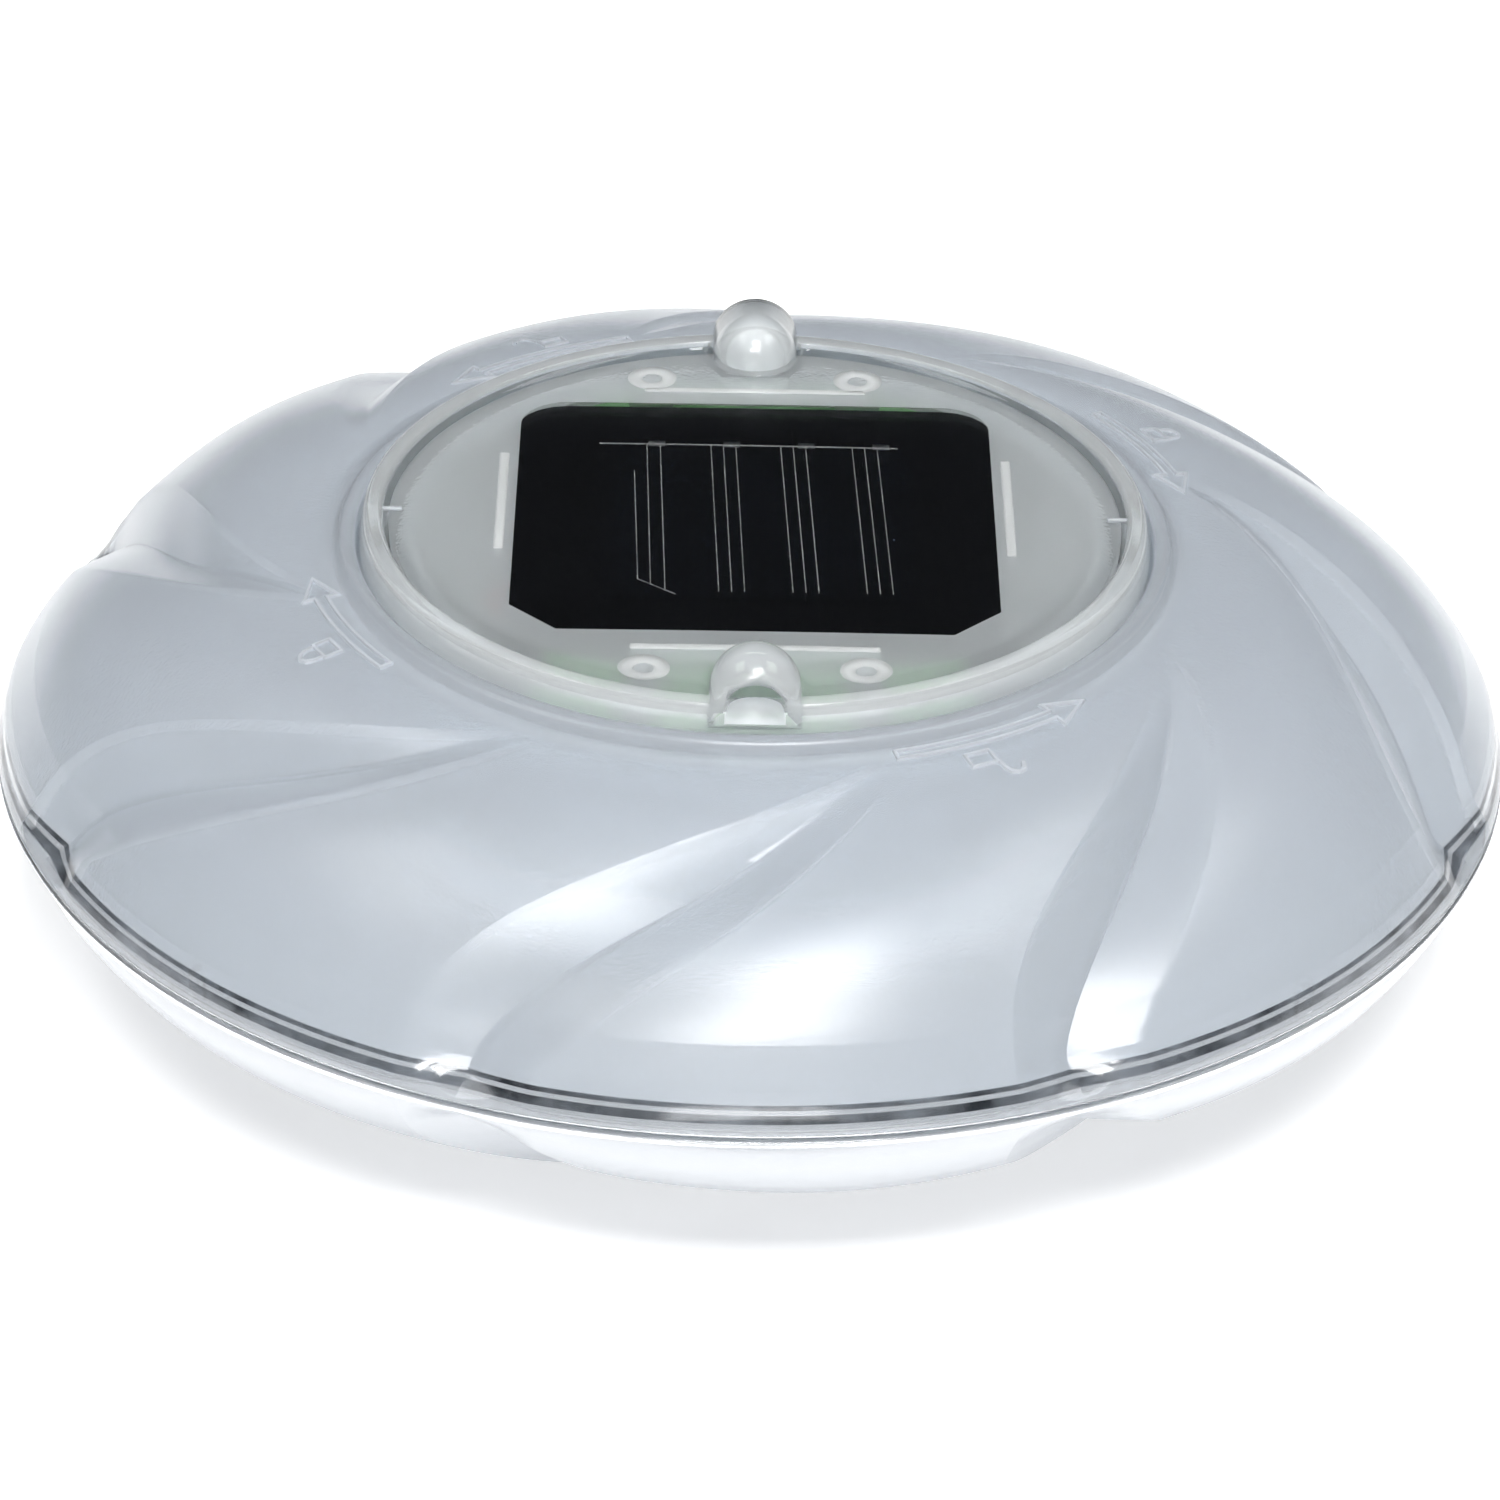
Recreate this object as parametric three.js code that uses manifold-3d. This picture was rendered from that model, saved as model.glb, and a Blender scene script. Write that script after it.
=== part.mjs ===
// Floating solar pool light: a sealed two-shell float with swirled lobes, and a round lamp module
// that locks into the collar at its top with a quarter-turn bayonet.
// Millimetres. +Z is up, the origin is the centre of the flat base the float stands on.

import * as THREE from 'three';
import { mergeVertices } from 'three/addons/utils/BufferGeometryUtils.js';
import Module from 'manifold-3d';

const wasm = await Module();
wasm.setup();

// ---------------------------------------------------------------- driving dimensions (mm, degrees)

const DIAMETER = 180; // float, across the seam
const SEAM_Z = 26; // seam above the flat base, the depth of the lower shell
const DOME_H = 25.3; // shoulder of the collar above the seam
const WALL = 2.2; // moulded wall of both shells
const SEAM_GAP = 0.3; // joint line between the shells
const FOOT_R = 34; // flat base

const LOBES = 8; // swirled lobes round the float
const LOBE_PHASE = 17; // angle of the first valley's inner tip
const VALLEY_DEPTH = 3.1; // valley between two lobes
const PILLOW = 0.7; // crown of each lobe
const SWEEP_NEAR = 42; // how far each of the three valley lines sweeps clockwise, tip to rim
const SWEEP_MID = 38;
const SWEEP_FAR = 33.5;
const BEVEL_FROM = 62.5; // flat bevel above the rim, between two angles of the crown's curve
const BEVEL_TO = 73;

const COLLAR_DEPTH = 21.8; // collar that takes the lamp module
const COLLAR_PROUD = 0.5; // collar edge above the dome's shoulder
const MODULE_CLEAR = 0.45; // radial clearance of the module in the collar

const CAP_RISE = 3; // cap rim above the collar edge
const CAP_RIM_W = 2.4;
const CAP_SKIRT_H = 9.8;
const WINDOW_RECESS = 0.8; // window edge below the rim
const WINDOW_CROWN = 0.5;
const WINDOW_T = 1.6;
const LUG_R = 5.2; // hooded lug at the front and back of the cap
const LUG_WALL = 1.6;
const BOSS_R = 3; // screw bosses under the window
const BOSS_X = 12.6;
const BOSS_GAP = 6.2; // from the panel's front and back edges to the boss centres
const BASE_BOSS_ANGLE = 21.5; // bosses for the module base, either side of the X axis
const PILOT_R = 1.2;

const PANEL_W = 57.6; // solar panel, bonded under the window
const PANEL_L = 59;
const PANEL_T = 1.6;
const PANEL_CORNER = 6;
const PANEL_MARGIN = 5.5; // from the panel's corners to the inside of the cap's skirt
const BOND_T = 0.3;
const BOND_CHAMFER = 6.5;
const CELL_COUNT = 4;
const CELL_AREA_W = 36;
const CELL_L = 37;
const CELL_GAP = 0.5;
const CELL_OFFSET_X = 0.9; // row of cells off the panel's centre
const CELL_T = 0.2;

const BOARD_W = 50; // circuit board: a disc with two flat sides
const BOARD_MARGIN = 2.5; // board beyond its screw centres
const BOARD_T = 1.6;

const FLANGE_T = 1.7; // seal groove of the module base
const SEAL_R = 0.85;
const LEDGE_T = 2.4; // bayonet
const TAB_T = 2.2;
const TAB_ANGLE = 24;
const LEDGE_ANGLE = 30;
const BAYONETS = 4;
const BAYONET_PHASE = 45;
const STOP_ANGLE = 2.5;

const CUP_WALL = 1.8; // module base
const CUP_DEPTH = 28;
const CELL_R = 7.1; // rechargeable battery, AA size
const CELL_LEN = 50.5;
const SPRING_ROOM = 6.1;
const CONTACT_T = 0.4;
const BAY_WALL = 1.5;
const COVER_T = 1.8;
const COVER_MARGIN = 6;
const KNOB_W = 4; // slide switch under the module
const KNOB_L = 3;
const KNOB_TRAVEL = 2.5;
const SWITCH_Y = -24;

const FIT = 0.3; // clearance between parts fixed to each other
const LOOSE = 0.2; // clearance of a screw in its hole
const SCREW_R = 1;
const SCREW_HEAD_R = 2;
const SCREW_HEAD_H = 1.3;
const WIRE_R = 0.55;

// ---------------------------------------------------------------- derived levels and radii

const panelX = PANEL_W / 2;
const panelY = PANEL_L / 2;
const PANEL_REACH = Math.hypot(panelX, panelY) - PANEL_CORNER * (Math.SQRT2 - 1);
const SKIRT_IN_R = PANEL_REACH + PANEL_MARGIN;
const CAP_R = SKIRT_IN_R + CAP_RIM_W;
const CAP_TOP_R = CAP_R - MODULE_CLEAR;
const COLLAR_IN_R = CAP_R + MODULE_CLEAR;
const BOSS_Y = panelY + BOSS_GAP;
const BOARD_R = Math.hypot(BOSS_X, BOSS_Y) + BOARD_MARGIN;

const RIM_R = DIAMETER / 2;
const COLLAR_OUT_R = COLLAR_IN_R + WALL;
const SHOULDER_Z = SEAM_Z + DOME_H;
const COLLAR_TOP = SHOULDER_Z + COLLAR_PROUD;
const CAP_TOP = COLLAR_TOP + CAP_RISE;
const WINDOW_EDGE_Z = CAP_TOP - WINDOW_RECESS;
const WINDOW_R = CAP_TOP_R - CAP_RIM_W;
const WINDOW_UNDER = WINDOW_EDGE_Z - WINDOW_T;
const SKIRT_BOTTOM = CAP_TOP - CAP_SKIRT_H;

const PANEL_TOP = WINDOW_UNDER - BOND_T - 2 * CELL_T - FIT;
const BOARD_TOP = PANEL_TOP - PANEL_T - FIT - 2 * WIRE_R;
const BOSS_BOTTOM = BOARD_TOP + FIT;
const BOARD_BOTTOM = BOARD_TOP - BOARD_T;

const GROOVE_H = 2 * (SEAL_R + FIT / 2);
const FLANGE_TOP = SKIRT_BOTTOM - FIT;
const GROOVE_TOP = FLANGE_TOP - FLANGE_T;
const GROOVE_BOTTOM = GROOVE_TOP - GROOVE_H;
const FLANGE_BOTTOM = GROOVE_BOTTOM - FLANGE_T;
const FLANGE_R = CAP_R - FIT;
const SEAL_RING_R = COLLAR_IN_R - FIT / 2 - SEAL_R;
const GROOVE_R = SEAL_RING_R - SEAL_R - FIT / 2;
const LEDGE_TOP = FLANGE_BOTTOM - FIT;
const LEDGE_BOTTOM = LEDGE_TOP - LEDGE_T;
const TAB_TOP = LEDGE_BOTTOM - FIT;
const TAB_BOTTOM = TAB_TOP - TAB_T;
const CUP_R = GROOVE_R - LOOSE - 1.5;
const CUP_IN_R = CUP_R - CUP_WALL;
const SPIGOT_R = SKIRT_IN_R - FIT;
const SPIGOT_TOP = FLANGE_TOP + 4;
const CUP_BOTTOM = FLANGE_TOP - CUP_DEPTH;
const CUP_FLOOR = CUP_BOTTOM + CUP_WALL;
const BASE_BOSS_R = CUP_IN_R - BOSS_R - FIT;

const BAY_LEN = CELL_LEN + SPRING_ROOM + 2 * (CONTACT_T + FIT) - FIT;
const BAY_HALF_W = CELL_R + 1;
const CELL_Z = CUP_BOTTOM + CELL_R + 0.5;
const BAY_CEILING = CELL_Z + CELL_R + 0.5;
const COVER_TOP = CUP_BOTTOM - FIT;
const COVER_L = BAY_LEN + 2 * COVER_MARGIN;
const COVER_W = 2 * BAY_HALF_W + COVER_MARGIN;
const COVER_SCREW_X = BAY_LEN / 2 + BAY_WALL + SCREW_HEAD_R;

// ---------------------------------------------------------------- materials and helpers

const material = (color, roughness, metalness = 0) =>
  new THREE.MeshStandardMaterial({ color, roughness, metalness });
const SHELL = [0xbcc6d0, 0.45];
const CLEAR = [0xd3dedd, 0.35];
const WHITE = [0xe8eaea, 0.5];
const STEEL = [0xb4b6b8, 0.3, 1];
const BLACK = [0x0d0d10, 0.3];

const part = new THREE.Group();
part.name = 'floating_pool_light';

const rad = (degrees) => (degrees * Math.PI) / 180;
const polar = (r, degrees, z) => new THREE.Vector3(r * Math.cos(rad(degrees)), r * Math.sin(rad(degrees)), z);

// A closed body from any closed three.js geometry, always turned to face outwards.
function body(source) {
  let geometry = source.index ? source.toNonIndexed() : source.clone();
  geometry.deleteAttribute('normal');
  geometry.deleteAttribute('uv');
  geometry = mergeVertices(geometry, 1e-4);
  const position = geometry.attributes.position;
  const index = geometry.index.array;
  const kept = [];
  let volume = 0;
  const corner = [new THREE.Vector3(), new THREE.Vector3(), new THREE.Vector3()];
  for (let i = 0; i < index.length; i += 3) {
    const [a, b, c] = [index[i], index[i + 1], index[i + 2]];
    if (a === b || b === c || c === a) continue;
    kept.push(a, b, c);
    corner.forEach((v, k) => v.fromBufferAttribute(position, index[i + k]));
    volume += corner[0].dot(corner[1].clone().cross(corner[2]));
  }
  if (volume < 0) kept.reverse();
  return new wasm.Manifold(
    new wasm.Mesh({
      numProp: 3,
      vertProperties: new Float32Array(position.array),
      triVerts: new Uint32Array(kept),
    }),
  );
}

const addAll = (first, ...others) => others.reduce((sum, other) => sum.add(other), first);
const cutAll = (first, ...others) => others.reduce((sum, other) => sum.subtract(other), first);

function place(name, solid, look) {
  const mesh = solid.getMesh();
  const geometry = new THREE.BufferGeometry();
  geometry.setAttribute('position', new THREE.BufferAttribute(new Float32Array(mesh.vertProperties), 3));
  geometry.setIndex(Array.from(mesh.triVerts));
  geometry.computeVertexNormals();
  const node = new THREE.Mesh(geometry, material(...look));
  node.name = name;
  part.add(node);
}

// Body of revolution about Z from [radius, height] points.
function turned(points, segments = 64) {
  const onAxis = points[0][0] === 0 && points.at(-1)[0] === 0;
  const loop = onAxis ? points : [...points, points[0]];
  const geometry = new THREE.LatheGeometry(
    loop.map(([r, z]) => new THREE.Vector2(r, z)),
    segments,
  );
  return body(geometry.rotateX(Math.PI / 2));
}

function disc(radius, low, high, x = 0, y = 0, segments = 24) {
  const points = [
    [0, low],
    [radius, low],
    [radius, high],
    [0, high],
  ];
  return turned(points, segments).translate(x, y, 0);
}

function tube(outer, inner, low, high, segments = 64) {
  const points = [
    [inner, low],
    [outer, low],
    [outer, high],
    [inner, high],
  ];
  return turned(points, segments);
}

function box(x0, x1, y0, y1, z0, z1) {
  const geometry = new THREE.BoxGeometry(x1 - x0, y1 - y0, z1 - z0);
  return body(geometry.translate((x0 + x1) / 2, (y0 + y1) / 2, (z0 + z1) / 2));
}

// Flat outline of [x, y] points given a height.
function slab(points, low, high) {
  const shape = new THREE.Shape(points.map(([x, y]) => new THREE.Vector2(x, y)));
  const geometry = new THREE.ExtrudeGeometry(shape, { depth: high - low, bevelEnabled: false });
  return body(geometry.translate(0, 0, low));
}

// Part of a ring between two angles.
function sector(outer, inner, from, to, low, high, steps = 6) {
  const points = [];
  for (let i = 0; i <= steps; i += 1) points.push(polar(outer, from + ((to - from) * i) / steps, 0));
  for (let i = steps; i >= 0; i -= 1) points.push(polar(inner, from + ((to - from) * i) / steps, 0));
  return slab(points.map((p) => [p.x, p.y]), low, high);
}

function roundedRectangle(halfX, halfY, radius, steps = 5) {
  const points = [];
  const corners = [
    [1, 1, 0],
    [-1, 1, 90],
    [-1, -1, 180],
    [1, -1, 270],
  ];
  for (const [sx, sy, start] of corners) {
    for (let i = 0; i <= steps; i += 1) {
      const p = polar(radius, start + (90 * i) / steps, 0);
      points.push([sx * (halfX - radius) + p.x, sy * (halfY - radius) + p.y]);
    }
  }
  return points;
}

function wire(points, radius = WIRE_R, steps = 14, sides = 4) {
  const path = new THREE.CatmullRomCurve3(points.map((p) => new THREE.Vector3(...p)));
  const shape = new THREE.Shape();
  shape.absarc(0, 0, radius, 0, 2 * Math.PI);
  const geometry = new THREE.ExtrudeGeometry(shape, {
    steps,
    extrudePath: path,
    curveSegments: sides,
    bevelEnabled: false,
  });
  return body(geometry);
}

// Screw standing head down: the shank points up from the underside it clamps.
function screw(x, y, seat, length) {
  const points = [
    [0, seat - SCREW_HEAD_H],
    [SCREW_HEAD_R * 0.8, seat - SCREW_HEAD_H],
    [SCREW_HEAD_R, seat - SCREW_HEAD_H * 0.6],
    [SCREW_HEAD_R, seat],
    [SCREW_R, seat],
    [SCREW_R, seat + length - SCREW_R],
    [0, seat + length],
  ];
  return turned(points, 12).translate(x, y, 0);
}

// ---------------------------------------------------------------- swirled shells

const PETAL_STEPS = 5; // grid columns on a lobe; the two valley facets take one each
const TIP_R = COLLAR_OUT_R + 3.7;
const VALLEY_END_R = RIM_R - 2;
const TIP_HALF_ANGLE = 0.8;

// Angles of the near edge, the bottom and the far edge of a valley at radius r, from its tip.
function valleyLines(r) {
  const t = Math.min(1, Math.max(0, (r - TIP_R) / (VALLEY_END_R - TIP_R)));
  return [
    -TIP_HALF_ANGLE - SWEEP_NEAR * (1 - (1 - t) ** 1.9),
    -SWEEP_MID * (1 - (1 - t) ** 1.3),
    TIP_HALF_ANGLE - SWEEP_FAR * t ** 1.15,
  ];
}

// Columns of one row of the skin: the angle and how far below the crown each one lies (0 to 1
// for the pillow, 0 to 1 for the valley).
function rowColumns(r) {
  const [near, mid, far] = valleyLines(r);
  const pitch = 360 / LOBES;
  const columns = [];
  for (let lobe = 0; lobe < LOBES; lobe += 1) {
    const start = LOBE_PHASE + lobe * pitch;
    columns.push({ angle: start + near, edge: 1, valley: 0 });
    columns.push({ angle: start + mid, edge: 1, valley: 1 });
    for (let i = 0; i < PETAL_STEPS; i += 1) {
      const s = i / PETAL_STEPS;
      const angle = start + far + s * (pitch + near - far);
      columns.push({ angle, edge: 1 - Math.sin(Math.PI * s), valley: 0 });
    }
  }
  return columns;
}

const smooth = (x) => {
  const c = Math.min(1, Math.max(0, x));
  return c * c * (3 - 2 * c);
};

function spread(from, to, count) {
  return Array.from({ length: count + 1 }, (_, i) => from + ((to - from) * i) / count);
}

// One skin of a shell: one row for each of the steps, angles from 0 at the inner radius to 90 at
// the rim. The crown follows height * (1 - u^2)^power, with u the sine of that angle.
function skin({ innerR, height, power, sign, inset, steps }) {
  const span = RIM_R - innerR;
  const crown = (a) => [innerR + span * Math.sin(a), height * Math.cos(a) ** (2 * power)];
  const grid = [];
  for (const degrees of steps) {
    const a = rad(degrees);
    const [r, z] = crown(a);
    const [r0, z0] = crown(Math.max(a - 0.01, 0));
    const [r1, z1] = crown(Math.min(a + 0.01, Math.PI / 2 - 1e-6));
    const length = Math.hypot(r1 - r0, z1 - z0);
    const normal = degrees >= 90 ? [1, 0] : [-(z1 - z0) / length, (r1 - r0) / length];
    const grow = smooth((r - TIP_R) / (0.55 * (VALLEY_END_R - TIP_R)));
    const fade = 1 - smooth((degrees / 90 - 0.8) / 0.2);
    const row = rowColumns(r).map(({ angle, edge, valley }) => {
      const down = inset + grow * fade * (PILLOW * edge + VALLEY_DEPTH * valley);
      const height1 = Math.max(z - down * normal[1], 0) + SEAM_GAP / 2;
      return polar(r - down * normal[0], angle, SEAM_Z + sign * height1);
    });
    grid.push(row);
  }
  return grid;
}

// Closed body from a closed run of rows; an end that is a single point closes there.
function bodyFromRows(rows, closed) {
  const positions = [];
  const triangle = (a, b, c) => positions.push(...a.toArray(), ...b.toArray(), ...c.toArray());
  const count = rows.find((row) => row.length > 1).length;
  const at = (row, i) => (row.length === 1 ? row[0] : row[i % count]);
  const last = closed ? rows.length : rows.length - 1;
  for (let k = 0; k < last; k += 1) {
    const [low, high] = [rows[k], rows[(k + 1) % rows.length]];
    for (let i = 0; i < count; i += 1) {
      const [a, b, c, d] = [at(low, i), at(low, i + 1), at(high, i + 1), at(high, i)];
      if (a.distanceTo(c) < b.distanceTo(d)) {
        triangle(a, b, c);
        triangle(a, c, d);
      } else {
        triangle(a, b, d);
        triangle(b, c, d);
      }
    }
  }
  const geometry = new THREE.BufferGeometry();
  geometry.setAttribute('position', new THREE.Float32BufferAttribute(positions, 3));
  return body(geometry);
}

const UPPER = { innerR: COLLAR_OUT_R - WALL / 2, height: DOME_H, power: 0.67, sign: 1 };
const LOWER = { innerR: FOOT_R, height: SEAM_Z - SEAM_GAP / 2, power: 0.57, sign: -1 };

// Height of the upper shell's crown at radius r.
function crownZ(r) {
  const u = (r - UPPER.innerR) / (RIM_R - UPPER.innerR);
  return SEAM_Z + SEAM_GAP / 2 + DOME_H * (1 - u * u) ** UPPER.power;
}

// ---------------------------------------------------------------- upper shell

const bayonetAngles = Array.from({ length: BAYONETS }, (_, k) => BAYONET_PHASE + (360 / BAYONETS) * k);

function collar() {
  const bottom = COLLAR_TOP - COLLAR_DEPTH;
  const edge = COLLAR_PROUD;
  return turned(
    [
      [COLLAR_IN_R, bottom],
      [COLLAR_OUT_R, bottom],
      [COLLAR_OUT_R, COLLAR_TOP - edge],
      [COLLAR_OUT_R - edge, COLLAR_TOP],
      [COLLAR_IN_R + FIT, COLLAR_TOP],
      [COLLAR_IN_R, COLLAR_TOP - FIT],
    ],
    64,
  );
}

function ledge(angle) {
  const half = LEDGE_ANGLE / 2;
  const inner = CUP_R + FIT;
  const outer = COLLAR_IN_R + WALL / 2;
  const shelf = sector(outer, inner, angle - half, angle + half, LEDGE_BOTTOM, LEDGE_TOP);
  const stopEnd = angle - TAB_ANGLE / 2 - 0.5;
  const stop = sector(outer, inner, stopEnd - STOP_ANGLE, stopEnd, TAB_BOTTOM, LEDGE_BOTTOM + 0.5, 2);
  return shelf.add(stop);
}

const MARK_H = 0.35; // raised turning marks round the collar
const MARK_R = COLLAR_OUT_R + 3.7;
const MARK_STROKE = 0.5;
const MARK_SINK = 1;

// Raised flat shape that follows the dome, from [angle, radius] points, with an optional hole.
function raised(points, hole = []) {
  const flat = (list) => {
    const loop = list.map(([angle, r]) => polar(r, angle, 0)).map((p) => new THREE.Vector2(p.x, p.y));
    return THREE.ShapeUtils.isClockWise(loop) ? loop.reverse() : loop;
  };
  const shape = new THREE.Shape(flat(points));
  if (hole.length > 0) shape.holes.push(new THREE.Path(flat(hole)));
  const geometry = new THREE.ExtrudeGeometry(shape, { depth: 1, bevelEnabled: false });
  const position = geometry.attributes.position;
  for (let i = 0; i < position.count; i += 1) {
    const r = Math.hypot(position.getX(i), position.getY(i));
    const lift = position.getZ(i) > 0.5 ? MARK_H : -MARK_SINK;
    position.setZ(i, crownZ(r) + lift);
  }
  return body(geometry);
}

// Arrow outline along the collar from one angle to another, with its head at the end.
function arrow(from, to) {
  const turn = Math.sign(to - from);
  const steps = 4;
  const outline = (half, headHalf, back, tip) => {
    const start = from + turn * back;
    const neck = to - turn * (6 - back);
    const shaft = (r) => spread(start, neck, steps).map((angle) => [angle, r]);
    const head = [
      [neck, MARK_R + headHalf],
      [to - turn * tip, MARK_R],
      [neck, MARK_R - headHalf],
    ];
    return [...shaft(MARK_R + half), ...head, ...shaft(MARK_R - half).reverse()];
  };
  return raised(outline(0.95, 2.5, 0, 0), outline(0.95 - MARK_STROKE, 1.5, 0.6, 1.5));
}

// Padlock outline; an open one has its shackle swung to one side.
function padlock(angle, open) {
  const inner = MARK_R + 2;
  const outer = inner + 2.6;
  const half = 1.8;
  const frame = (inset) => [
    [angle - half + inset, inner + inset],
    [angle + half - inset, inner + inset],
    [angle + half - inset, outer - inset],
    [angle - half + inset, outer - inset],
  ];
  const middle = angle + (open ? 2 * half - 0.6 : 0);
  const bow = (inset, lift) => [
    [middle - half + 0.3 + inset, outer - 0.2],
    [middle - half + 0.5 + inset, outer + 1.7 - lift],
    [middle, outer + 2.4 - lift],
    [middle + half - 0.5 - inset, outer + 1.7 - lift],
    [middle + half - 0.3 - inset, outer + (open ? 0.9 : -0.2)],
  ];
  const shackle = raised([...bow(0, 0), ...bow(MARK_STROKE, MARK_STROKE).reverse()]);
  return raised(frame(0), frame(MARK_STROKE)).add(shackle);
}

const LOCK_ARROW = [218, 193];
const UNLOCK_ARROW = [287, 315];
const marks = [0, 180].flatMap((turn) => [
  arrow(LOCK_ARROW[0] + turn, LOCK_ARROW[1] + turn),
  padlock(209.8 + turn, false),
  arrow(UNLOCK_ARROW[0] + turn, UNLOCK_ARROW[1] + turn),
  padlock(296.6 + turn, true),
]);

const PIN_R = 0.9; // assembly pins in the rim
const PIN_RING_R = RIM_R - WALL - 1.4;
const PIN_LEN = 5;
const pinAngles = bayonetAngles;
const rimPad = (low, high) => (angle) => {
  const p = polar(PIN_RING_R, angle, 0);
  return disc(PIN_R + 1.2, low, high, p.x, p.y, 16);
};
const rimHole = (angle) => {
  const p = polar(PIN_RING_R, angle, 0);
  return disc(PIN_R + LOOSE, SEAM_Z - PIN_LEN / 2 - FIT, SEAM_Z + PIN_LEN / 2 + FIT, p.x, p.y, 12);
};

const outerSteps = [...spread(0, BEVEL_FROM, 9), ...spread(BEVEL_TO, 90, 4)];
const innerSteps = [...spread(0, BEVEL_FROM, 7), ...spread(BEVEL_TO, 90, 3)];
const upperOuter = skin({ ...UPPER, inset: 0, steps: outerSteps });
const upperInner = skin({ ...UPPER, inset: WALL, steps: innerSteps });
let upper = bodyFromRows([...upperOuter, ...upperInner.reverse()], true);
upper = addAll(upper, collar(), ...bayonetAngles.map(ledge), ...marks);
upper = addAll(upper, ...pinAngles.map(rimPad(SEAM_Z + SEAM_GAP / 2, SEAM_Z + PIN_LEN / 2 + 1.3)));
upper = cutAll(upper, ...pinAngles.map(rimHole));
place('upper_shell', upper, SHELL);

// ---------------------------------------------------------------- lower shell

const lowerOuter = skin({ ...LOWER, inset: 0, steps: spread(0, 90, 13) });
const lowerInner = skin({ ...LOWER, inset: WALL, steps: spread(0, 90, 10) });
const foot = [new THREE.Vector3(0, 0, 0)];
const floorInside = [new THREE.Vector3(0, 0, WALL)];
let lower = bodyFromRows([foot, ...lowerOuter, ...lowerInner.reverse(), floorInside], false);
lower = addAll(lower, ...pinAngles.map(rimPad(SEAM_Z - PIN_LEN / 2 - 1.3, SEAM_Z - SEAM_GAP / 2)));
lower = cutAll(lower, ...pinAngles.map(rimHole));
place('lower_shell', lower, SHELL);

pinAngles.forEach((angle, i) => {
  const p = polar(PIN_RING_R, angle, 0);
  const pin = disc(PIN_R, SEAM_Z - PIN_LEN / 2, SEAM_Z + PIN_LEN / 2, p.x, p.y, 12);
  place(`shell_pin_${i + 1}`, pin, CLEAR);
});

// ---------------------------------------------------------------- cap of the lamp module

function capShell() {
  const crown = 6;
  const window = Array.from({ length: crown + 1 }, (_, i) => {
    const r = (WINDOW_R * i) / crown;
    return [r, WINDOW_EDGE_Z + WINDOW_CROWN * (1 - (r / WINDOW_R) ** 2)];
  });
  const round = 0.6;
  return turned(
    [
      [0, WINDOW_UNDER],
      [SKIRT_IN_R, WINDOW_UNDER],
      [SKIRT_IN_R, SKIRT_BOTTOM],
      [CAP_R, SKIRT_BOTTOM],
      [CAP_R, COLLAR_TOP],
      [CAP_TOP_R, CAP_TOP - round],
      [CAP_TOP_R - round, CAP_TOP],
      [WINDOW_R + round, CAP_TOP],
      ...window.reverse(),
    ],
    64,
  );
}

// Hooded lug: a quarter ball inward, a half barrel outward, open to the outside.
function lug(side) {
  const centre = CAP_TOP_R - 2.8;
  const hood = (r, reach, floor) => {
    const ball = body(new THREE.SphereGeometry(r, 20, 12)).translate(0, centre, WINDOW_EDGE_Z);
    const barrel = body(new THREE.CylinderGeometry(r, r, reach, 20).translate(0, reach / 2, 0));
    const whole = ball.add(barrel.translate(0, centre, WINDOW_EDGE_Z));
    const end = centre + reach;
    return whole.intersect(box(-r - 1, r + 1, centre - r - 1, end, floor, CAP_TOP + r + 9));
  };
  const outside = hood(LUG_R, CAP_TOP_R - centre - 0.2, WINDOW_EDGE_Z - 0.5);
  const inside = hood(LUG_R - LUG_WALL, 2 * LUG_R, CAP_TOP);
  const shape = outside.subtract(inside);
  return side > 0 ? shape : shape.rotate(0, 0, 180);
}

const RIB_H = 2.4; // locating ribs round the panel
const RIB_W = 1.2;
const RIB_GAP = 0.6;
function ribs() {
  const x = panelX + RIB_GAP;
  const front = -panelY - RIB_GAP;
  const back = panelY + 2.6;
  const z = [WINDOW_UNDER - RIB_H, WINDOW_UNDER + 0.4];
  return [
    box(-14.3, 14.3, front - RIB_W, front, ...z),
    box(-13.5, 13.5, back, back + RIB_W, ...z),
    box(-x - RIB_W, -x, -8.3, 15.5, ...z),
    box(x, x + RIB_W, -8.3, 15.5, ...z),
  ];
}

const bossSpots = [
  [-BOSS_X, -BOSS_Y],
  [BOSS_X, -BOSS_Y],
  [BOSS_X, BOSS_Y],
  [-BOSS_X, BOSS_Y],
];
const baseBossSpots = [0, 180].flatMap((side) =>
  [-BASE_BOSS_ANGLE, BASE_BOSS_ANGLE].map((angle) => {
    const p = polar(BASE_BOSS_R, side + angle, 0);
    return [p.x, p.y];
  }),
);
const BASE_BOSS_BOTTOM = SKIRT_BOTTOM - 5;
const tick = (angle) => {
  const bar = box(WINDOW_R - 2.2, WINDOW_R + 0.4, -0.3, 0.3, WINDOW_EDGE_Z - 0.4, WINDOW_EDGE_Z + 0.4);
  return bar.rotate(0, 0, angle);
};

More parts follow.
